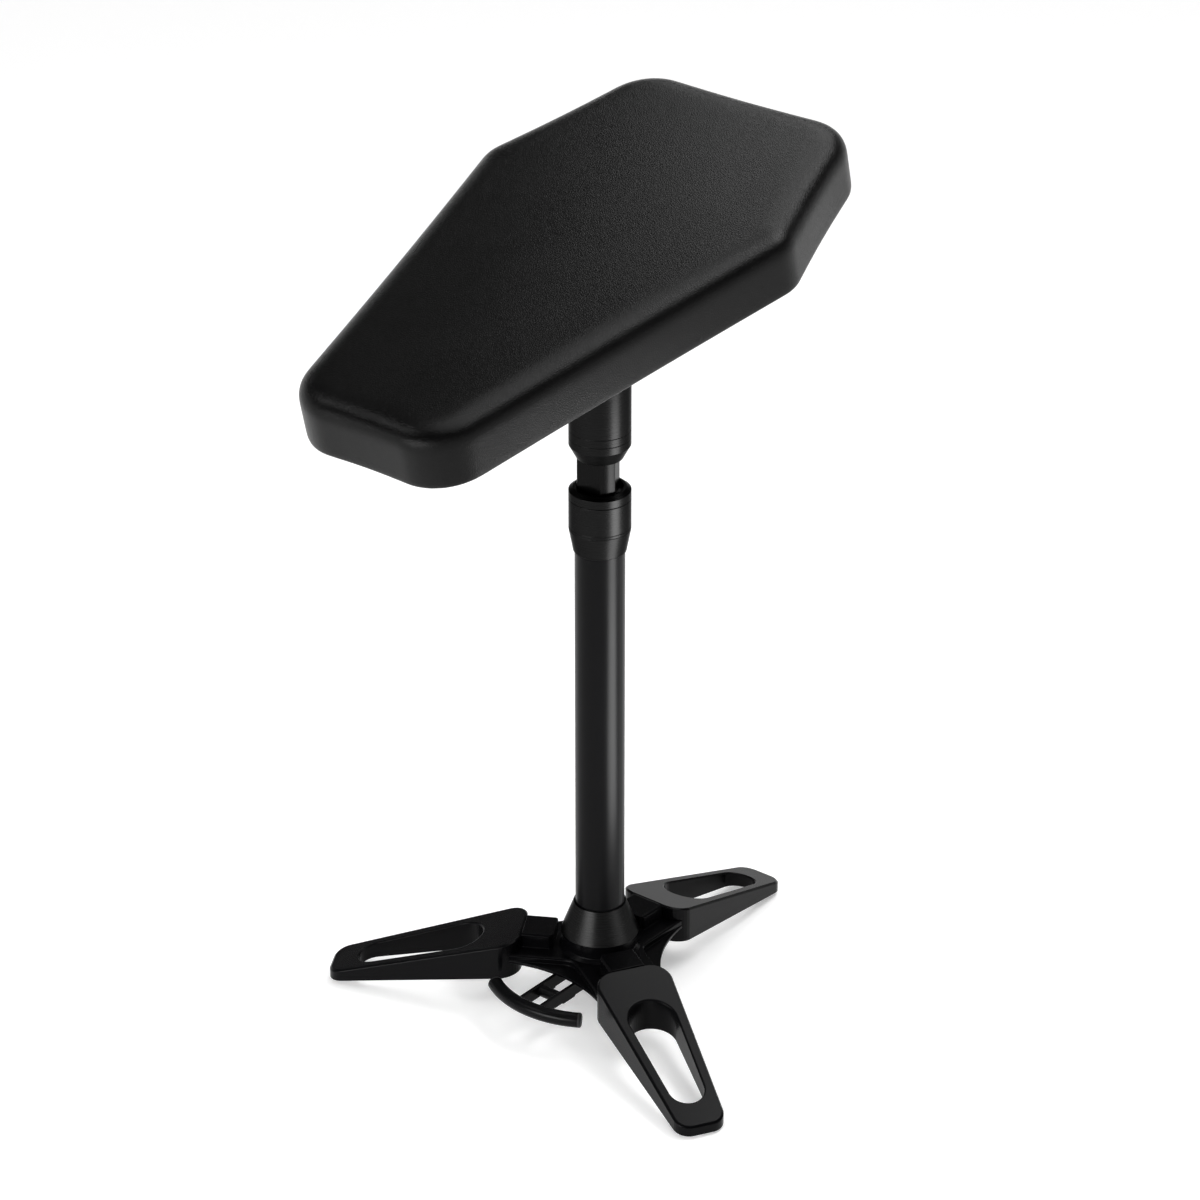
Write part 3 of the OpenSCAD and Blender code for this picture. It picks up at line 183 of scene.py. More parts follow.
class StudioSettings(bpy.types.PropertyGroup):
    """Camera, lamps and floor."""

    camera_place: FloatVectorProperty(
        name="Camera", default=(2.0721, -2.5752, 2.0877), description="Place of the camera",
        size=3, unit="LENGTH", subtype="TRANSLATION",
    )
    camera_turn: FloatVectorProperty(
        name="Camera angles", default=(math.radians(62.727), 0, math.radians(38.82)),
        description="Angles of the camera", size=3, subtype="EULER",
    )
    lens: FloatProperty(
        name="Lens", default=134.79, description="Focal length, in millimetres", subtype="DISTANCE_CAMERA"
    )
    floor: colour("Floor", "#ededed", "Colour of the floor")
    room: colour("Room", "#595959", "Light of the room around the stand")
    ceiling: FloatProperty(
        name="Ceiling light", default=1.6, description="Strength of the even light from above"
    )
    rear_power: lamp_power("Rear lamp", 16, "Power of the high lamp behind")
    left_power: lamp_power("Left lamps", 5, "Power of each of the two lamps on the left")
    front_power: lamp_power("Front lamp", 3, "Power of the lamp in front")
    low_power: lamp_power("Low lamp", 0.8, "Power of the low lamp at the right")


def settings():
    """All the sizes and colours of this scene."""
    return bpy.context.scene.arm_rest


def in_pad(point):
    """A point of the pad's own frame, whose origin is on the hinge, in the frame of the whole stand."""
    return HINGE + Matrix.Rotation(settings().pad.tilt, 3, "X") @ Vector(point)


def corner_arcs(pad, inset):
    """The six corners of the pad's outline, inset from its widest, each as its centre, its radius, its first
    angle, its turn and the normal of the side after it. The first is the foot's right corner."""
    head, shoulder = pad.hinge_back, pad.hinge_back - pad.shoulder_back
    foot = pad.hinge_back - pad.length
    right = [
        (pad.foot_width / 2, foot, pad.end_round),
        (pad.shoulder_width / 2, shoulder, pad.shoulder_round),
        (pad.head_width / 2, head, pad.end_round),
    ]
    corners = right + [(-x, y, r) for x, y, r in reversed(right)]
    normals = []
    for (x, y, _), (next_x, next_y, _) in zip(corners, corners[1:] + corners[:1]):
        along = Vector((next_x - x, next_y - y)).normalized()
        normals.append(Vector((along.y, -along.x)))
    least_radius = pad.shoulder_round / 8
    arcs = []
    for i, (x, y, r) in enumerate(corners):
        before, after = normals[i - 1], normals[i]
        radius = max(r - inset, least_radius)
        centre = Vector((x, y)) - (before + after) / (1 + before.dot(after)) * (inset + radius)
        arcs.append((centre, radius, math.atan2(before.y, before.x), before.angle(after), after))
    return arcs


def outline(pad, inset, draw):
    """Points round the pad, inset from its widest, with the sides drawn in. They start in the middle of the
    foot's right corner, and the four runs between the ends' corners have as many points as the top's grid
    has faces."""
    arcs = corner_arcs(pad, inset)
    fine, marks = [], []
    for i, (centre, radius, start, turn, normal) in enumerate(arcs):
        for k in range(CORNER_STEPS + 1):
            if i in END_CORNERS and k == CORNER_STEPS / 2:
                marks.append(len(fine))
            angle = start + turn * k / CORNER_STEPS
            fine.append(centre + radius * Vector((math.cos(angle), math.sin(angle))))
        next_centre, next_radius, next_start = arcs[(i + 1) % len(arcs)][:3]
        end = next_centre + next_radius * Vector((math.cos(next_start), math.sin(next_start)))
        begin = fine[-1]
        for k in range(1, SIDE_STEPS):
            t = k / SIDE_STEPS
            fine.append(begin.lerp(end, t) - normal * draw * math.sin(math.pi * t))
    runs = [pad.along, pad.across, pad.along, pad.across]
    points = []
    for run, first, last in zip(runs, marks, marks[1:] + [marks[0] + len(fine)]):
        stretch = [fine[k % len(fine)] for k in range(first, last + 1)]
        lengths = np.concatenate([[0], np.cumsum([(q - p).length for p, q in zip(stretch, stretch[1:])])])
        at = np.linspace(0, lengths[-1], run + 1)[:-1]
        xs = np.interp(at, lengths, [p.x for p in stretch])
        ys = np.interp(at, lengths, [p.y for p in stretch])
        points += [Vector(p) for p in zip(xs, ys)]
    return points


def filled(pad, ring):
    """Points of a grid inside an outline of the pad, as rows from right to left, edges included."""
    n, m = pad.across, pad.along
    right = [ring[k] for k in range(m + 1)]
    head = [ring[m + k] for k in range(n + 1)]
    left = [ring[2 * m + n - k] for k in range(m + 1)]
    foot = [ring[(2 * (m + n) - k) % len(ring)] for k in range(n + 1)]
    rows = []
    for j in range(m + 1):
        v = j / m
        row = []
        for i in range(n + 1):
            u = i / n
            sides = right[j].lerp(left[j], u)
            ends = foot[i].lerp(head[i], v)
            square = right[0].lerp(left[0], u).lerp(right[m].lerp(left[m], u), v)
            row.append(sides + ends - square)
        rows.append(row)
    return rows


def loft(bm, rings):
    """Joins closed rings of vertices with four-sided faces."""
    for low, high in zip(rings, rings[1:]):
        for a, b, c, d in zip(low, low[1:] + low[:1], high[1:] + high[:1], high):
            bm.faces.new((a, b, c, d))


def crown_share(u, v):
    """Share of the crown's rise at a place in a grid: 1 in its middle, and 0 without a kink at its sides."""
    return (4 * u * (1 - u)) ** 1.8 * (4 * v * (1 - v)) ** 1.2


def ripple_share(p):
    """Soft unevenness of a stretched sheet, from -1 to 1, about 33 mm from wave to wave."""
    return noise.noise(Vector((p.x * 30, p.y * 30, 0)))


def cap(bm, pad, ring, height, upwards, rise=0, ripple=0):
    """Fills a ring of vertices with a grid at this height, which rises to its middle and may ripple."""
    n, m = pad.across, pad.along
    plan = filled(pad, [Vector((v.co.x, v.co.y)) for v in ring])
    made = []
    for j, row in enumerate(plan):
        made.append([])
        for i, p in enumerate(row):
            if i == 0:
                vertex = ring[j]
            elif i == n:
                vertex = ring[2 * m + n - j]
            elif j == 0:
                vertex = ring[2 * (m + n) - i]
            elif j == m:
                vertex = ring[m + i]
            else:
                level = height + rise * crown_share(i / n, j / m) + ripple * ripple_share(p)
                vertex = bm.verts.new((p.x, p.y, level))
            made[-1].append(vertex)
    for low, high in zip(made, made[1:]):
        for a, b, c, d in zip(low, high, high[1:], low[1:]):
            bm.faces.new((d, c, b, a) if upwards else (a, b, c, d))


def piece(name, bm, material, body="pad"):
    """An object from a mesh in the pad's frame, smooth, with its finish, riding on a body."""
    for v in bm.verts:
        v.co = in_pad(v.co)
    mesh = bpy.data.meshes.new(name)
    bmesh.ops.recalc_face_normals(bm, faces=bm.faces)
    bm.to_mesh(mesh)
    bm.free()
    mesh.shade_smooth()
    mesh.materials.append(material)
    made = bpy.data.objects.new(name, mesh)
    bpy.context.scene.collection.objects.link(made)
    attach(made, body)
    return made


def pleat(pad, p):
    """How far the cover's lap stands proud where it is folded round a corner: from 0 to 1."""
    most = 0
    for i, (centre, _, start, turn, _) in enumerate(corner_arcs(pad, 0)):
        angle = (math.atan2(p.y - centre.y, p.x - centre.x) - start) % (2 * math.pi)
        if angle < turn:
            folds = END_FOLDS if i in END_CORNERS else SHOULDER_FOLDS
            fade = math.sin(math.pi * angle / turn)
            most = max(most, fade * abs(math.sin(math.pi * folds * angle / turn)))
    return most


def cushion_section(pad):
    """Inset and height of each ring of the cushion: board side, lap, tuck, side and rolled edge."""
    under, side_top = pad.underside, pad.underside + pad.thickness - pad.roll_height
    tuck_top, side = under + pad.tuck_height, side_top - under - pad.tuck_height
    section = [(pad.lap + pad.tuck_depth, under + pad.cover), (pad.lap + pad.tuck_depth, under)]
    for k in range(1, LAP_STEPS + 1):
        section.append((pad.tuck_depth + pad.lap * (1 - k / LAP_STEPS), under))
    section += [(pad.tuck_depth / 4, under + pad.tuck_height / 2), (0, tuck_top)]
    for k in range(1, SIDE_RISES):
        section.append((0, tuck_top + side * k / SIDE_RISES))
    for k in range(ROLL_STEPS):
        angle = math.pi / 2 * k / ROLL_STEPS
        across, rise = 1 - math.cos(angle) ** ROLL_FULLNESS, math.sin(angle) ** ROLL_FULLNESS
        section.append((pad.roll_width * across, side_top + pad.roll_height * rise))
    section.append((pad.roll_width, side_top + pad.roll_height))
    return section


def cushion_form(pad, bm):
    """The cushion as a closed form, with pleats in its lap and a crowned top."""
    rings = []
    for k, (inset, z) in enumerate(cushion_section(pad)):
        folded = max(0, 1 - (k - 1) / PLEAT_RINGS) if k else 0
        ring = []
        for p in outline(pad, inset, pad.draw):
            ring.append(bm.verts.new((p.x, p.y, z - PLEAT_DEPTH * pleat(pad, p) * folded)))
        rings.append(ring)
    loft(bm, rings)
    cap(bm, pad, rings[-1], pad.underside + pad.thickness, True, rise=pad.crown)
    cap(bm, pad, rings[0], pad.underside + pad.cover, False)


def evened(mesh, travel):
    """Travel of a mesh's points, evened out between neighbours."""
    ends = np.array([edge.vertices for edge in mesh.edges])
    neighbours = np.bincount(ends.ravel(), minlength=len(travel))[:, None]
    for _ in range(EVENING_ROUNDS):
        near = np.zeros_like(travel)
        np.add.at(near, ends[:, 0], travel[ends[:, 1]])
        np.add.at(near, ends[:, 1], travel[ends[:, 0]])
        travel = (travel + near / neighbours) / 2
    return travel


def swollen(cushion, pad):
    """Lets stuffing push the cover from inside with a cloth simulation. The travel is evened out, as foam
    does, and the distance that a point moves is capped."""
    mesh = cushion.data
    up = Matrix.Rotation(pad.tilt, 3, "X") @ Vector((0, 0, 1))
    rest = np.array([v.co for v in mesh.vertices], float).reshape(-1, 3)
    height = (rest - np.array(HINGE)) @ np.array(up)
    held = cushion.vertex_groups.new(name="held")
    free = np.clip((height - pad.underside - pad.tuck_height) / FREE_ABOVE, 0, 1)
    for i, share in enumerate(free):
        held.add([i], 1 - float(share), "REPLACE")
    cloth = cushion.modifiers.new("stuffing", "CLOTH")
    for name, value in CLOTH.items():
        setattr(cloth.settings, name, value)
    cloth.settings.vertex_group_mass = held.name
    cloth.settings.effector_weights.gravity = 0
    cloth.collision_settings.use_collision = False
    scene = bpy.context.scene
    for step in range(1, CLOTH_FRAMES + 1):
        scene.frame_set(step)
    moved = cushion.evaluated_get(bpy.context.evaluated_depsgraph_get()).to_mesh()
    after = np.array([v.co for v in moved.vertices], float).reshape(-1, 3)
    cushion.modifiers.remove(cloth)
    scene.frame_set(1)
    travel = evened(mesh, after - rest)
    far = np.linalg.norm(travel, axis=1, keepdims=True)
    after = rest + travel * free[:, None] * pad.swell / (pad.swell + far)
    mesh.vertices.foreach_set("co", after.astype(np.float32).ravel())
    mesh.update()
    cushion.vertex_groups.remove(held)


def mark_rubbed(cushion, pad):
    """Stores how much arms have rubbed each point of the cover: most along the rolled edge, in patches about
    70 mm wide, and less over the crown."""
    turn = Matrix.Rotation(-pad.tilt, 3, "X")
    top = pad.underside + pad.thickness
    # The rubbing is strongest this far below the top, and fades over the second length.
    below, reach = 0.004, 0.005
    rubbed = cushion.data.attributes.new("rubbed", "FLOAT", "POINT")
    values = []
    for v in cushion.data.vertices:
        p = turn @ (v.co - HINGE)
        roll = math.exp(-(((p.z - top + below) / reach) ** 2))
        worn = 0.5 + 0.5 * noise.noise(p * 14)
        values.append(max(0, min(1, roll * (0.35 + 0.65 * worn))))
    rubbed.data.foreach_set("value", values)


def cloth_edge(pad, under):
    """Inset of the dust cloth's edge from the pad's widest."""
    return pad.lap + pad.tuck_depth - under.overlap


def staple_places(pad, under):
    """Middle, direction and turn of each staple along the dust cloth's hem."""
    ring = outline(pad, cloth_edge(pad, under) + under.hem * STAPLE_LINE, pad.draw)
    lengths = [(q - p).length for p, q in zip(ring, ring[1:] + ring[:1])]
    count = round(sum(lengths) / under.spacing)
    places, at, k = [], 0, 0
    for i, (p, step) in enumerate(zip(ring, lengths)):
        while k < count and at + step > (k + 0.5) * sum(lengths) / count:
            q = ring[(i + 1) % len(ring)]
            along = (q - p).normalized()
            # The two sines share no rhythm, so that neighbours look placed by hand.
            stray = STAPLE_STRAY * math.sin(9.7 * k)
            places.append((p + Vector((along.y, -along.x)) * stray, along, STAPLE_TURN * math.sin(5.3 * k)))
            k += 1
        at += step
    return places


def add(tree, kind, sockets=(), **node_settings):
    """Adds a shader node, named without its prefix, with its settings. Each entry of sockets is a number or
    colour to set, or another node's output to link. A Mix node has its colours in sockets 6 and 7, and the
    colour that it makes in output 2."""
    node = tree.nodes.new("ShaderNode" + kind)
    for name, value in node_settings.items():
        setattr(node, name, value)
    for name, value in dict(sockets).items():
        if isinstance(value, bpy.types.NodeSocket):
            tree.links.new(value, node.inputs[name])
        else:
            node.inputs[name].default_value = value
    return node


def per(millimetres):
    """Scale of a texture whose pattern repeats at this real size."""
    return 1000 / millimetres


def finish(name):
    """A new material: its node tree, its shader and the place on the part, in metres."""
    material = bpy.data.materials.new(name)
    material.use_nodes = True
    tree = material.node_tree
    tree.nodes.clear()
    shader = add(tree, "BsdfPrincipled")
    add(tree, "OutputMaterial", {"Surface": shader.outputs[0]})
    return material, tree, shader, add(tree, "TexCoord").outputs["Object"]


def shade(base, factor):
    """A colour made lighter or darker, opaque."""
    return [min(1, c * factor) for c in base] + [1]


def opaque(code):
    """An sRGB hex colour as linear light, opaque."""
    return rgb(code) + [1]


def link(tree, shader, **values):
    """Links the shader's sockets, named with underscores for spaces."""
    for name, value in values.items():
        tree.links.new(value, shader.inputs[name.replace("_", " ")])


def tinted(tree, place, patch_mm, detail, first, second):
    """Patches of this size, as numbers from 0 to 1, and a colour that drifts between two over them."""
    patches = add(tree, "TexNoise", {"Vector": place, "Scale": per(patch_mm), "Detail": detail}).outputs[0]
    tint = add(tree, "Mix", {0: patches, 6: first, 7: second}, data_type="RGBA").outputs[2]
    return patches, tint


def edges(tree, radius):
    """The rounded normal of a part's edges, and a mask that is 1 on them."""
    rounded = add(tree, "Bevel", {"Radius": radius}, samples=6).outputs[0]
    flat = add(tree, "NewGeometry").outputs["True Normal"]
    facing = add(tree, "VectorMath", {0: rounded, 1: flat}, operation="DOT_PRODUCT").outputs["Value"]
    limits = {"From Min": 0.92, "From Max": 0.9996, "To Min": 1, "To Max": 0}
    return rounded, add(tree, "MapRange", {"Value": facing, **limits}).outputs[0]


def surface(tree, shader, tint, rough, relief, rounded=None):
    """Gives a shader its colour, roughness and relief. Rough holds a pattern, the least and most roughness,
    and the pattern's values there. Relief holds a height from 0 to 1, its depth in millimetres and a
    strength."""
    pattern, least, most, start, end = rough
    limits = {"From Min": start, "From Max": end, "To Min": least, "To Max": most}
    height, depth_mm, strength = relief
    bumps = {"Height": height, "Distance": depth_mm / 1000, "Strength": strength}
    if rounded is not None:
        bumps["Normal"] = rounded
    link(
        tree, shader,
        Base_Color=tint,
        Roughness=add(tree, "MapRange", {"Value": pattern, **limits}).outputs[0],
        Normal=add(tree, "Bump", bumps).outputs[0],
    )


def leatherette(base):
    """Embossed PVC leatherette: a fine pebbled grain with painted shade in its creases, polished by arms along the
    roll.
    """
    material, tree, shader, place = finish("leatherette_embossed_black")
    wander = add(tree, "TexNoise", {"Vector": place, "Scale": per(9), "Detail": 2}).outputs[0]
    warped = add(
        tree, "VectorMath", {0: wander, 1: (0.0016, 0.0016, 0.0016), 2: place}, operation="MULTIPLY_ADD"
    ).outputs[0]
    # The real grain is about 0.8 mm; it is drawn at 1.8 mm so that it shows in the render.
    cells = add(tree, "TexVoronoi", {"Vector": warped, "Scale": per(1.8)}, feature="DISTANCE_TO_EDGE")
    pebble = add(tree, "MapRange", {"Value": cells.outputs["Distance"], "From Max": 0.3}).outputs[0]
    pores = add(tree, "TexNoise", {"Vector": place, "Scale": per(1.3), "Detail": 2}).outputs[0]
    grain = add(tree, "Math", {0: pores, 1: 0.35, 2: pebble}, operation="MULTIPLY_ADD").outputs[0]
    relief = add(tree, "Bump", {"Height": grain, "Distance": 0.13 / 1000, "Strength": 0.6}).outputs[0]
    cloudy, dyed = tinted(tree, place, 55, 4, shade(base, 0.82), shade(base, 1.2))
    # Painted shade: the grain's creases are darkened towards half the base colour, by up to 45 per cent.
    crease_shade = add(tree, "MapRange", {"Value": pebble, "To Min": 0.45, "To Max": 0}).outputs[0]
    shaded_in_creases = add(tree, "Mix", {0: crease_shade, 6: dyed, 7: shade(base, 0.5)}, data_type="RGBA").outputs[2]
    limits = {"From Min": 0.2, "From Max": 0.8, "To Min": 0.29, "To Max": 0.36}
    dull = add(tree, "MapRange", {"Value": cloudy, **limits}).outputs[0]
    rubbed = add(tree, "Attribute", attribute_name="rubbed").outputs["Fac"]
    polished = add(tree, "Math", {0: rubbed, 1: -0.09, 2: dull}, operation="MULTIPLY_ADD").outputs[0]
    link(tree, shader, Base_Color=shaded_in_creases, Roughness=polished, Normal=relief)
    shader.inputs["Specular IOR Level"].default_value = 0.16
    return material


def powder_coat(name, base, peel_mm, rough):
    """Powder coat on metal: a satin skin with faint orange peel, thin and lighter on the edges."""
    material, tree, shader, place = finish(name)
    rounded, edge = edges(tree, 0.0011)
    peel = add(tree, "TexNoise", {"Vector": place, "Scale": per(peel_mm), "Detail": 2}).outputs[0]
    cloudy, coat = tinted(tree, place, 48, 4, shade(base, 0.85), shade(base, 1.18))
    scuffed = add(tree, "TexNoise", {"Vector": place, "Scale": per(7), "Detail": 5}).outputs[0]
    limits = {"From Min": 0.4, "From Max": 0.65, "To Min": 0.15, "To Max": 0.9}
    scuffs = add(tree, "MapRange", {"Value": scuffed, **limits}).outputs[0]
    worn = add(tree, "Math", {0: edge, 1: scuffs}, operation="MULTIPLY").outputs[0]
    tint = add(tree, "Mix", {0: worn, 6: coat, 7: shade(base, 2.6)}, data_type="RGBA").outputs[2]
    surface(tree, shader, tint, (cloudy, rough - 0.02, rough + 0.03, 0.2, 0.8), (peel, 0.02, 0.5), rounded)
    shader.inputs["Specular IOR Level"].default_value = 0.08
    return material


def turned_aluminium(base):
    """Turned aluminium, satin anodised black: hair-fine rings that draw each highlight out round the part."""
    material, tree, shader, place = finish("anodised_turned_aluminium_black")
    split = add(tree, "SeparateXYZ", {0: place}).outputs
    flat = add(tree, "CombineXYZ", {"X": split["X"], "Y": split["Y"]}).outputs[0]
    radius = add(tree, "VectorMath", {0: flat}, operation="LENGTH").outputs["Value"]
    feed = add(tree, "Math", {0: radius, 1: 0.7, 2: split["Z"]}, operation="MULTIPLY_ADD").outputs[0]
    # A finishing cut leaves rings 0.1 mm apart; they are drawn 0.6 mm apart so that they show.
    rings = add(
        tree, "TexNoise", {"W": feed, "Scale": per(0.6), "Detail": 2}, noise_dimensions="1D"
    ).outputs[0]
    _, dyed = tinted(tree, place, 30, 3, shade(base, 0.88), shade(base, 1.12))
    rounded, edge = edges(tree, 0.0005)
    worn = add(tree, "MapRange", {"Value": edge, "To Max": 0.5}).outputs[0]
    tint = add(tree, "Mix", {0: worn, 6: dyed, 7: shade(base, 2.2)}, data_type="RGBA").outputs[2]
    surface(tree, shader, tint, (rings, 0.25, 0.34, 0.3, 0.7), (rings, 0.004, 0.35), rounded)
    link(tree, shader, Tangent=add(tree, "Tangent", direction_type="RADIAL", axis="Z").outputs[0])
    shader.inputs["Metallic"].default_value = 1
    shader.inputs["Specular Tint"].default_value = (0.5, 0.5, 0.5, 1)
    shader.inputs["Anisotropic"].default_value = 0.3
    return material


def drawn_post(base):
    """Extruded aluminium, satin anodised black: die lines along it, so flats stay even and rounds flash."""
    material, tree, shader, place = finish("anodised_extruded_aluminium_black")
    # Die lines are about 0.2 mm apart; they are drawn 0.9 mm apart so that they show.
    drawn_out = add(tree, "Mapping", {"Vector": place, "Scale": (1, 1, 0.004)}).outputs[0]
    lines = add(tree, "TexNoise", {"Vector": drawn_out, "Scale": per(0.9), "Detail": 2}).outputs[0]
    _, dyed = tinted(tree, place, 70, 3, shade(base, 0.9), shade(base, 1.1))
    rounded, edge = edges(tree, 0.0006)
    worn = add(tree, "MapRange", {"Value": edge, "To Max": 0.4}).outputs[0]
    tint = add(tree, "Mix", {0: worn, 6: dyed, 7: shade(base, 2)}, data_type="RGBA").outputs[2]
    surface(tree, shader, tint, (lines, 0.25, 0.34, 0.3, 0.7), (lines, 0.012, 0.3), rounded)
    shader.inputs["Metallic"].default_value = 1
    shader.inputs["Specular Tint"].default_value = (0.5, 0.5, 0.5, 1)
    return material


def metal(name, light, dark, rough, grain_mm, stretch=None, depth_mm=0.01):
    """A bare or plated metal: two tints in patches, and a machined or plated grain."""
    material, tree, shader, place = finish(name)
    _, tint = tinted(tree, place, 6, 4, opaque(light), opaque(dark))
    if stretch:
        place = add(tree, "Mapping", {"Vector": place, "Scale": stretch}).outputs[0]
    grain = add(tree, "TexNoise", {"Vector": place, "Scale": per(grain_mm), "Detail": 2}).outputs[0]
    surface(tree, shader, tint, (grain, rough - 0.06, rough + 0.08, 0.3, 0.7), (grain, depth_mm, 0.4))
    shader.inputs["Metallic"].default_value = 1
    return material


def moulded(name, light, dark, rough, grain_mm, depth_mm):
    """A moulded rubber or plastic: one colour through and through, with the mould's spark-eroded grain."""
    material, tree, shader, place = finish(name)
    _, tint = tinted(tree, place, 15, 3, opaque(light), opaque(dark))
    grain = add(tree, "TexNoise", {"Vector": place, "Scale": per(grain_mm), "Detail": 3}).outputs[0]
    surface(tree, shader, tint, (grain, rough - 0.05, rough + 0.07, 0.3, 0.7), (grain, depth_mm, 0.6))
    shader.inputs["Specular IOR Level"].default_value = 0.3
    return material


def plywood():
    """Birch plywood, sawn: pale faces with long fibres, and plies that show as bands on the edge."""
    material, tree, shader, place = finish("birch_plywood_sawn")
    level = add(tree, "Mapping", {"Vector": place, "Rotation": (-settings().pad.tilt, 0, 0)}).outputs[0]
    drawn_out = add(tree, "Mapping", {"Vector": level, "Scale": (1, 0.03, 1)}).outputs[0]
    fibres, wood = tinted(tree, drawn_out, 1.2, 4, opaque("#d9bd92"), opaque("#b8925f"))
    height = add(tree, "SeparateXYZ", {0: level}).outputs["Z"]
    # Plies are 1.4 mm thick, pale and dark in turn.
    ply = add(tree, "Math", {0: height, 1: 2 * math.pi * per(2.8)}, operation="MULTIPLY").outputs[0]
    wave = add(tree, "Math", {0: ply}, operation="SINE").outputs[0]
    limits = {"From Min": -0.2, "From Max": 0.2, "To Min": 0, "To Max": 0.5}
    band = add(tree, "MapRange", {"Value": wave, **limits}).outputs[0]
    tint = add(tree, "Mix", {0: band, 6: wood, 7: opaque("#8f6b42")}, data_type="RGBA").outputs[2]
    surface(tree, shader, tint, (fibres, 0.6, 0.75, 0, 1), (fibres, 0.08, 0.5))
    return material


def spunbond():
    """Spunbond polypropylene, bonded in dots: a dull black felt-like sheet with a fine quilted look."""
    material, tree, shader, place = finish("polypropylene_spunbond_black")
    turn = (-settings().pad.tilt, 0, math.radians(45))
    level = add(tree, "Mapping", {"Vector": place, "Rotation": turn}).outputs[0]
    split = add(tree, "SeparateXYZ", {0: level}).outputs
    # Bonding dots are 1 mm apart. They are drawn 1.7 mm apart so that they show: two crossed waves of 2.4 mm
    # meet in a dot at every corner and in every middle of a square.
    waves = []
    for axis in "XY":
        way = add(tree, "Math", {0: split[axis], 1: 2 * math.pi * per(2.4)}, operation="MULTIPLY")
        waves.append(add(tree, "Math", {0: way.outputs[0]}, operation="SINE").outputs[0])
    dots = add(tree, "Math", {0: waves[0], 1: waves[1]}, operation="MULTIPLY").outputs[0]
    fibres, tint = tinted(tree, place, 0.8, 4, opaque("#101010"), opaque("#222223"))
    felt = add(tree, "Math", {0: dots, 1: 0.35, 2: fibres}, operation="MULTIPLY_ADD").outputs[0]
    surface(tree, shader, tint, (fibres, 0.72, 0.9, 0, 1), (felt, 0.12, 0.6))
    return material


def dress(slot, material):
    """Gives a material to every CAD node that the record puts in a slot."""
    for row in frame["record"]["subparts"]:
        if row["material_slot"] == slot:
            slots = frame["nodes"][row["node"]].data.materials
            slots.clear()
            slots.append(material)


class MakeCushion(bpy.types.Operator):
    """Makes the stuffed cushion with its leatherette cover"""

    bl_idname = "armrest.cushion"
    bl_label = "Cushion"

    def execute(self, context):
        pad = settings().pad
        bm = bmesh.new()
        cushion_form(pad, bm)
        cushion = piece("cushion", bm, leatherette(settings().colours.leatherette))
        swollen(cushion, pad)
        smooth = cushion.modifiers.new("finer", "SUBSURF")
        smooth.levels = smooth.render_levels = 1
        mark_rubbed(cushion, pad)
        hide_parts("cushion_foam", "cushion_cover")
        return {"FINISHED"}


class MakeDustCloth(bpy.types.Operator):
    """Makes the dust cloth under the board, with its folded hem"""

    bl_idname = "armrest.dust_cloth"
    bl_label = "Dust cloth"

    def execute(self, context):
        pad, under = settings().pad, settings().underside
        edge = cloth_edge(pad, under)
        lap_edge, hem_edge = edge + under.overlap, edge + under.hem
        # Each ring of the cloth has an inset, and a drop below the board as a share of its thickness.
        section = [
            (edge + 0.0002, 0), (edge, 0.5), (edge + 0.001, 1), (lap_edge, 1),
            (lap_edge + 0.002, 0.1), (hem_edge, 0.1), (hem_edge + 0.0015, 0),
        ]
        most_slack = 0.0005
        staples = [p for p, _, _ in staple_places(pad, under)]
        bm = bmesh.new()
        rings = []
        for inset, drop in section:
            ring = []
            for p in outline(pad, inset, pad.draw):
                from_staple = min((p - s).length for s in staples) / (under.spacing / 2)
                slack = most_slack * min(1, from_staple) if drop >= 0.5 else 0
                ring.append(bm.verts.new((p.x, p.y, pad.underside - (under.cloth + slack) * drop)))
            rings.append(ring)
        loft(bm, rings)
        cap(bm, pad, rings[-1], pad.underside, False, ripple=0.00015)
        cloth = piece("dust_cloth", bm, spunbond())
        thick = cloth.modifiers.new("thickness", "SOLIDIFY")
        thick.thickness = under.cloth
        thick.offset = 0
        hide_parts("dust_cover")
        return {"FINISHED"}


class MakeStaples(bpy.types.Operator):
    """Makes the staples that hold the dust cloth and the cover's lap"""

    bl_idname = "armrest.staples"
    bl_label = "Staples"

    def execute(self, context):
        pad, under = settings().pad, settings().underside
        half, wire = under.staple_width / 2, under.wire
        # The crown's middle lies close under the cloth.
        crown = pad.underside - 2.6 * under.cloth
        # A staple is seen from its crown: legs go up into the board, with a round bend at each end.
        path = [(-half, 3 * wire), (-half, wire)]
        path += [(-half + wire * (1 - math.cos(a)), wire * (1 - math.sin(a))) for a in (0.5, 1.1)]
        path += [(-half + wire, 0)]
        path += [(-x, z) for x, z in reversed(path)]
        # The wire is flat, with its corners cut. Each corner is a share of its width and of its thickness.
        section = [
            (-0.5, -0.3), (-0.3, -0.5), (0.3, -0.5), (0.5, -0.3),
            (0.5, 0.3), (0.3, 0.5), (-0.3, 0.5), (-0.5, 0.3),
        ]
        wide, thick = 1.3, 0.6
        bm = bmesh.new()
        for middle, along, turn in staple_places(pad, under):
            along = Matrix.Rotation(turn, 2) @ along
            across = Vector((-along.y, along.x))
            rings = []
            for k, (x, z) in enumerate(path):
                a, b = path[max(0, k - 1)], path[min(len(path) - 1, k + 1)]
                way = Vector((b[0] - a[0], b[1] - a[1])).normalized()
                ring = []
                for s, t in section:
                    out = Vector((-way.y, way.x)) * t * wire * thick
                    spot = middle + along * (x + out.x) + across * s * wire * wide
                    ring.append(bm.verts.new((spot.x, spot.y, crown + z + out.y)))
                rings.append(ring)
            loft(bm, rings)
            bm.faces.new(rings[0])
            bm.faces.new(rings[-1])
        piece("staples", bm, bpy.data.materials["zinc_plated_steel"])
        return {"FINISHED"}


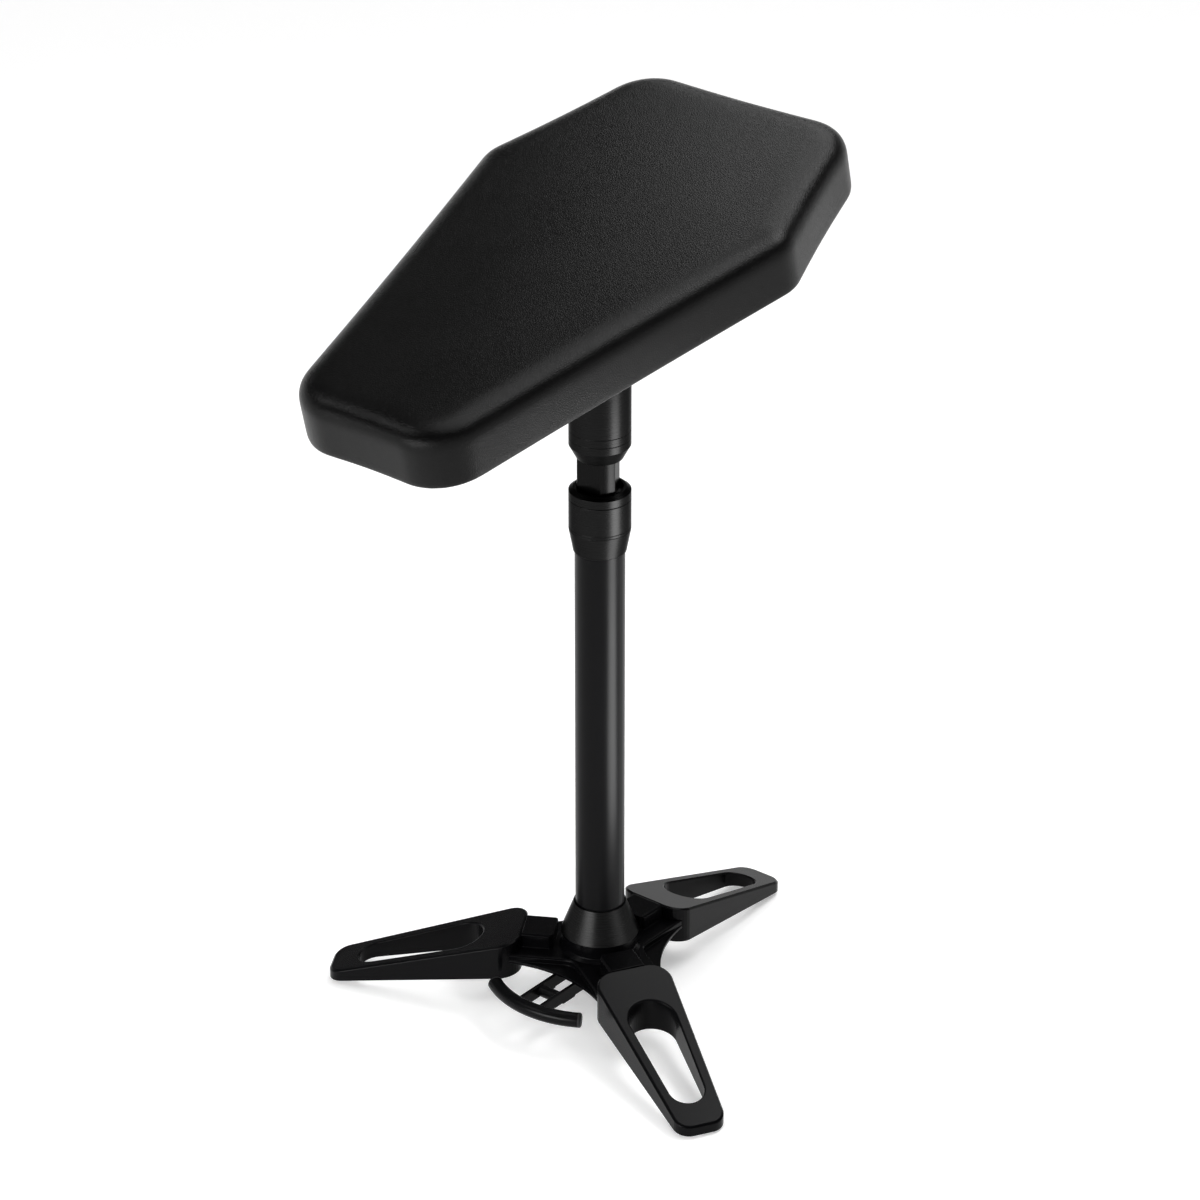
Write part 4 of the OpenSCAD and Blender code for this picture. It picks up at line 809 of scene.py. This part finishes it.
class FinishCoats(bpy.types.Operator):
    """Gives the legs, hub, tube, pedal and bracket their powder coats"""

    bl_idname = "armrest.coats"
    bl_label = "Powder coats"

    def execute(self, context):
        colours = settings().colours
        # Orange peel is about 2 mm wide on the castings, and a little finer on tube and plate.
        dress("cast_black", powder_coat("powder_coated_cast_aluminium", colours.casting, 2.2, 0.22))
        dress("tube_black", powder_coat("powder_coated_steel_tube", colours.tube, 1.6, 0.29))
        dress("coated_steel", powder_coat("powder_coated_steel_plate", colours.steel, 1.8, 0.24))
        return {"FINISHED"}


class FinishAnodised(bpy.types.Operator):
    """Gives the cone, collar, head and post their anodised finish"""

    bl_idname = "armrest.anodised"
    bl_label = "Anodised parts"

    def execute(self, context):
        colours = settings().colours
        dress("turned_black", turned_aluminium(colours.turned))
        dress("anodised_post", drawn_post(colours.post))
        return {"FINISHED"}


class FinishFittings(bpy.types.Operator):
    """Gives screws, rod, gland, feet, caps, slides, washers and board their finishes"""

    bl_idname = "armrest.fittings"
    bl_label = "Fittings"

    def execute(self, context):
        # Zinc plating: pale, a little blue and yellow in patches, with a fine dull grain.
        dress("zinc_steel", metal("zinc_plated_steel", "#b4b8bd", "#a09e92", 0.36, 0.9))
        # Machined steel: greyer, with fine rings.
        dress("bare_steel", metal("machined_steel", "#9b9c9e", "#858688", 0.34, 0.7, (1, 1, 6)))
        # Hard chrome on a ground rod: bright, with faint streaks along it.
        dress("chrome_rod", metal("hard_chromed_steel", "#d8dadd", "#cdd0d3", 0.12, 3, (1, 1, 0.2), 0.002))
        # Turned brass: warm and satin.
        dress("gland_brass", metal("turned_brass", "#c8a35a", "#b48d45", 0.28, 0.7, (1, 1, 6)))
        # Moulded rubber: dull black, a little dusty in patches.
        dress("foot_rubber", moulded("moulded_rubber_black", "#141414", "#1d1c1b", 0.78, 1.1, 0.06))
        # Moulded polyethylene: satin black.
        dress("cap_plastic", moulded("moulded_polyethylene_black", "#0b0b0c", "#101011", 0.48, 0.9, 0.04))
        # Moulded acetal: smooth, slightly glossy black.
        dress("slide_plastic", moulded("moulded_acetal_black", "#1a1a1b", "#202021", 0.38, 1.4, 0.02))
        # Stamped nylon: milky, slightly yellow.
        dress("washer_plastic", moulded("stamped_nylon_natural", "#ddd8c8", "#cfc8b4", 0.5, 1.6, 0.02))
        dress("plywood", plywood())
        return {"FINISHED"}


class MakeStudio(bpy.types.Operator):
    """Makes the pale floor, which curves up into a low backdrop far away, the soft lamps and the camera"""

    bl_idname = "armrest.studio"
    bl_label = "Studio"

    def execute(self, context):
        studio = settings().studio
        scene = context.scene
        scene.view_settings.view_transform = "Standard"
        world = bpy.data.worlds.new("room")
        world.use_nodes = True
        world.node_tree.nodes["Background"].inputs["Color"].default_value = [*studio.room, 1]
        scene.world = world
        self.make_floor(studio)
        self.hang_lamps(studio)

        view = bpy.data.cameras.new("camera")
        view.lens = studio.lens
        view.sensor_width = 36
        camera = bpy.data.objects.new("camera", view)
        camera.location = studio.camera_place
        camera.rotation_euler = studio.camera_turn
        scene.collection.objects.link(camera)
        scene.camera = camera
        return {"FINISHED"}

    def make_floor(self, studio):
        """A round floor that bends up into a wall all round."""
        flat_radius, bend, wall_top = 14, 3, 4.5
        bend_steps, sides = 12, 96
        section = [(flat_radius, 0)]
        for a in np.linspace(0, math.pi / 2, bend_steps + 1)[1:]:
            section.append((flat_radius + bend * math.sin(a), bend - bend * math.cos(a)))
        section.append((flat_radius + bend, wall_top))
        turns = [2 * math.pi * k / sides for k in range(sides)]
        bm = bmesh.new()
        rings = [[bm.verts.new((r * math.cos(a), r * math.sin(a), z)) for a in turns] for r, z in section]
        bm.faces.new(rings[0])
        loft(bm, rings)
        bmesh.ops.recalc_face_normals(bm, faces=bm.faces)
        mesh = bpy.data.meshes.new("floor")
        bm.to_mesh(mesh)
        bm.free()
        mesh.shade_smooth()
        mesh.materials.append(self.floor_paint(studio))
        floor = bpy.data.objects.new("floor", mesh)
        bpy.context.scene.collection.objects.link(floor)

    def floor_paint(self, studio):
        """Matt paint on the floor: it reads white to the camera and in reflections, and keeps the stand's
        shadow."""
        material, tree, shader, place = finish("matt_paint_white")
        # The clouds in the paint are a third of a metre wide.
        _, tint = tinted(tree, place, 1000 / 3, 3, shade(studio.floor, 0.985), shade(studio.floor, 1))
        link(tree, shader, Base_Color=tint)
        shader.inputs["Roughness"].default_value = 0.9
        shader.inputs["Specular IOR Level"].default_value = 0
        rays = add(tree, "LightPath").outputs
        seen = rays["Is Camera Ray"]
        for ray in ("Is Glossy Ray", "Is Transmission Ray"):
            seen = add(tree, "Math", {0: seen, 1: rays[ray]}, operation="MAXIMUM").outputs[0]
        glow = add(tree, "Math", {0: seen, 1: 0.4}, operation="MULTIPLY").outputs[0]
        shader.inputs["Emission Color"].default_value = (1, 1, 1, 1)
        link(tree, shader, Emission_Strength=glow)
        return material

    def hang_lamps(self, studio):
        """Even light from above, four soft boxes round the stand, and a small one low on its +X side."""
        ceiling = bpy.data.lights.new("ceiling", "SUN")
        ceiling.energy = studio.ceiling
        ceiling.angle = math.radians(60)
        self.hang(ceiling, (0.4, 0.5, 3), (0, 0, 0))
        pad, base = (0, 0, 0.7), (0, 0, 0.1)
        self.soft_box("rear", (0.6, 1.05, 2.5), pad, (1.3, 0.8), studio.rear_power)
        self.soft_box("left", (-0.5, 1.15, 1.75), pad, (0.9, 0.7), studio.left_power)
        self.soft_box("front", (-0.1, -1.5, 0.5), base, (1.2, 0.45), studio.front_power, 60)
        self.soft_box("front_left", (-1.1, -1.2, 2.05), pad, (0.8, 0.6), studio.left_power)
        beyond_column = (-0.52, -0.052, 0.669)
        self.soft_box("low", (0.358, 0.038, 0.2), beyond_column, (0.24, 0.38), studio.low_power, 70)

    def soft_box(self, name, place, towards, measure, power, spread=180):
        """A soft box of this width and height, facing a point. A grid narrows its spread, in degrees."""
        light = bpy.data.lights.new(name, "AREA")
        light.shape = "RECTANGLE"
        light.size, light.size_y = measure
        light.energy = power
        light.spread = math.radians(spread)
        self.hang(light, place, towards)

    def hang(self, light, place, towards):
        """Puts a light in its place, facing a point, out of the camera's sight."""
        lamp = bpy.data.objects.new(light.name, light)
        lamp.location = place
        lamp.rotation_euler = (Vector(towards) - Vector(place)).to_track_quat("-Z", "Y").to_euler()
        lamp.visible_camera = False
        bpy.context.scene.collection.objects.link(lamp)


class ArmRestSettings(bpy.types.PropertyGroup):
    """All that a user may change."""

    pad: PointerProperty(type=PadSizes, name="Pad", description="Sizes of the pad")
    underside: PointerProperty(
        type=UndersideSizes, name="Underside", description="Sizes of what is under the pad"
    )
    colours: PointerProperty(type=FinishColours, name="Colours", description="Colours of the finishes")
    studio: PointerProperty(type=StudioSettings, name="Studio", description="Camera, lamps and floor")


STEPS = [FinishCoats, FinishAnodised, FinishFittings, MakeCushion, MakeDustCloth, MakeStaples, MakeStudio]


class ArmRestPanel(bpy.types.Panel):
    """Lists the steps and the settings in the sidebar"""

    bl_idname = "VIEW3D_PT_armrest"
    bl_label = "Arm rest stand"
    bl_space_type = "VIEW_3D"
    bl_region_type = "UI"
    bl_category = "Arm rest"

    def draw(self, context):
        for step in STEPS:
            self.layout.operator(step.bl_idname)
        for group in (settings().pad, settings().underside, settings().colours, settings().studio):
            box = self.layout.box()
            for name in group.__annotations__:
                box.prop(group, name)


GROUPS = [PadSizes, UndersideSizes, FinishColours, StudioSettings, ArmRestSettings]


def register():
    for kind in (*GROUPS, *STEPS, ArmRestPanel):
        bpy.utils.register_class(kind)
    bpy.types.Scene.arm_rest = PointerProperty(type=ArmRestSettings)


def unregister():
    del bpy.types.Scene.arm_rest
    for kind in (ArmRestPanel, *reversed(STEPS), *reversed(GROUPS)):
        bpy.utils.unregister_class(kind)


def main():
    register()
    bpy.ops.armrest.coats()
    bpy.ops.armrest.anodised()
    bpy.ops.armrest.fittings()
    bpy.ops.armrest.cushion()
    bpy.ops.armrest.dust_cloth()
    bpy.ops.armrest.staples()
    bpy.ops.armrest.studio()


if __name__ == "__main__":
    main()
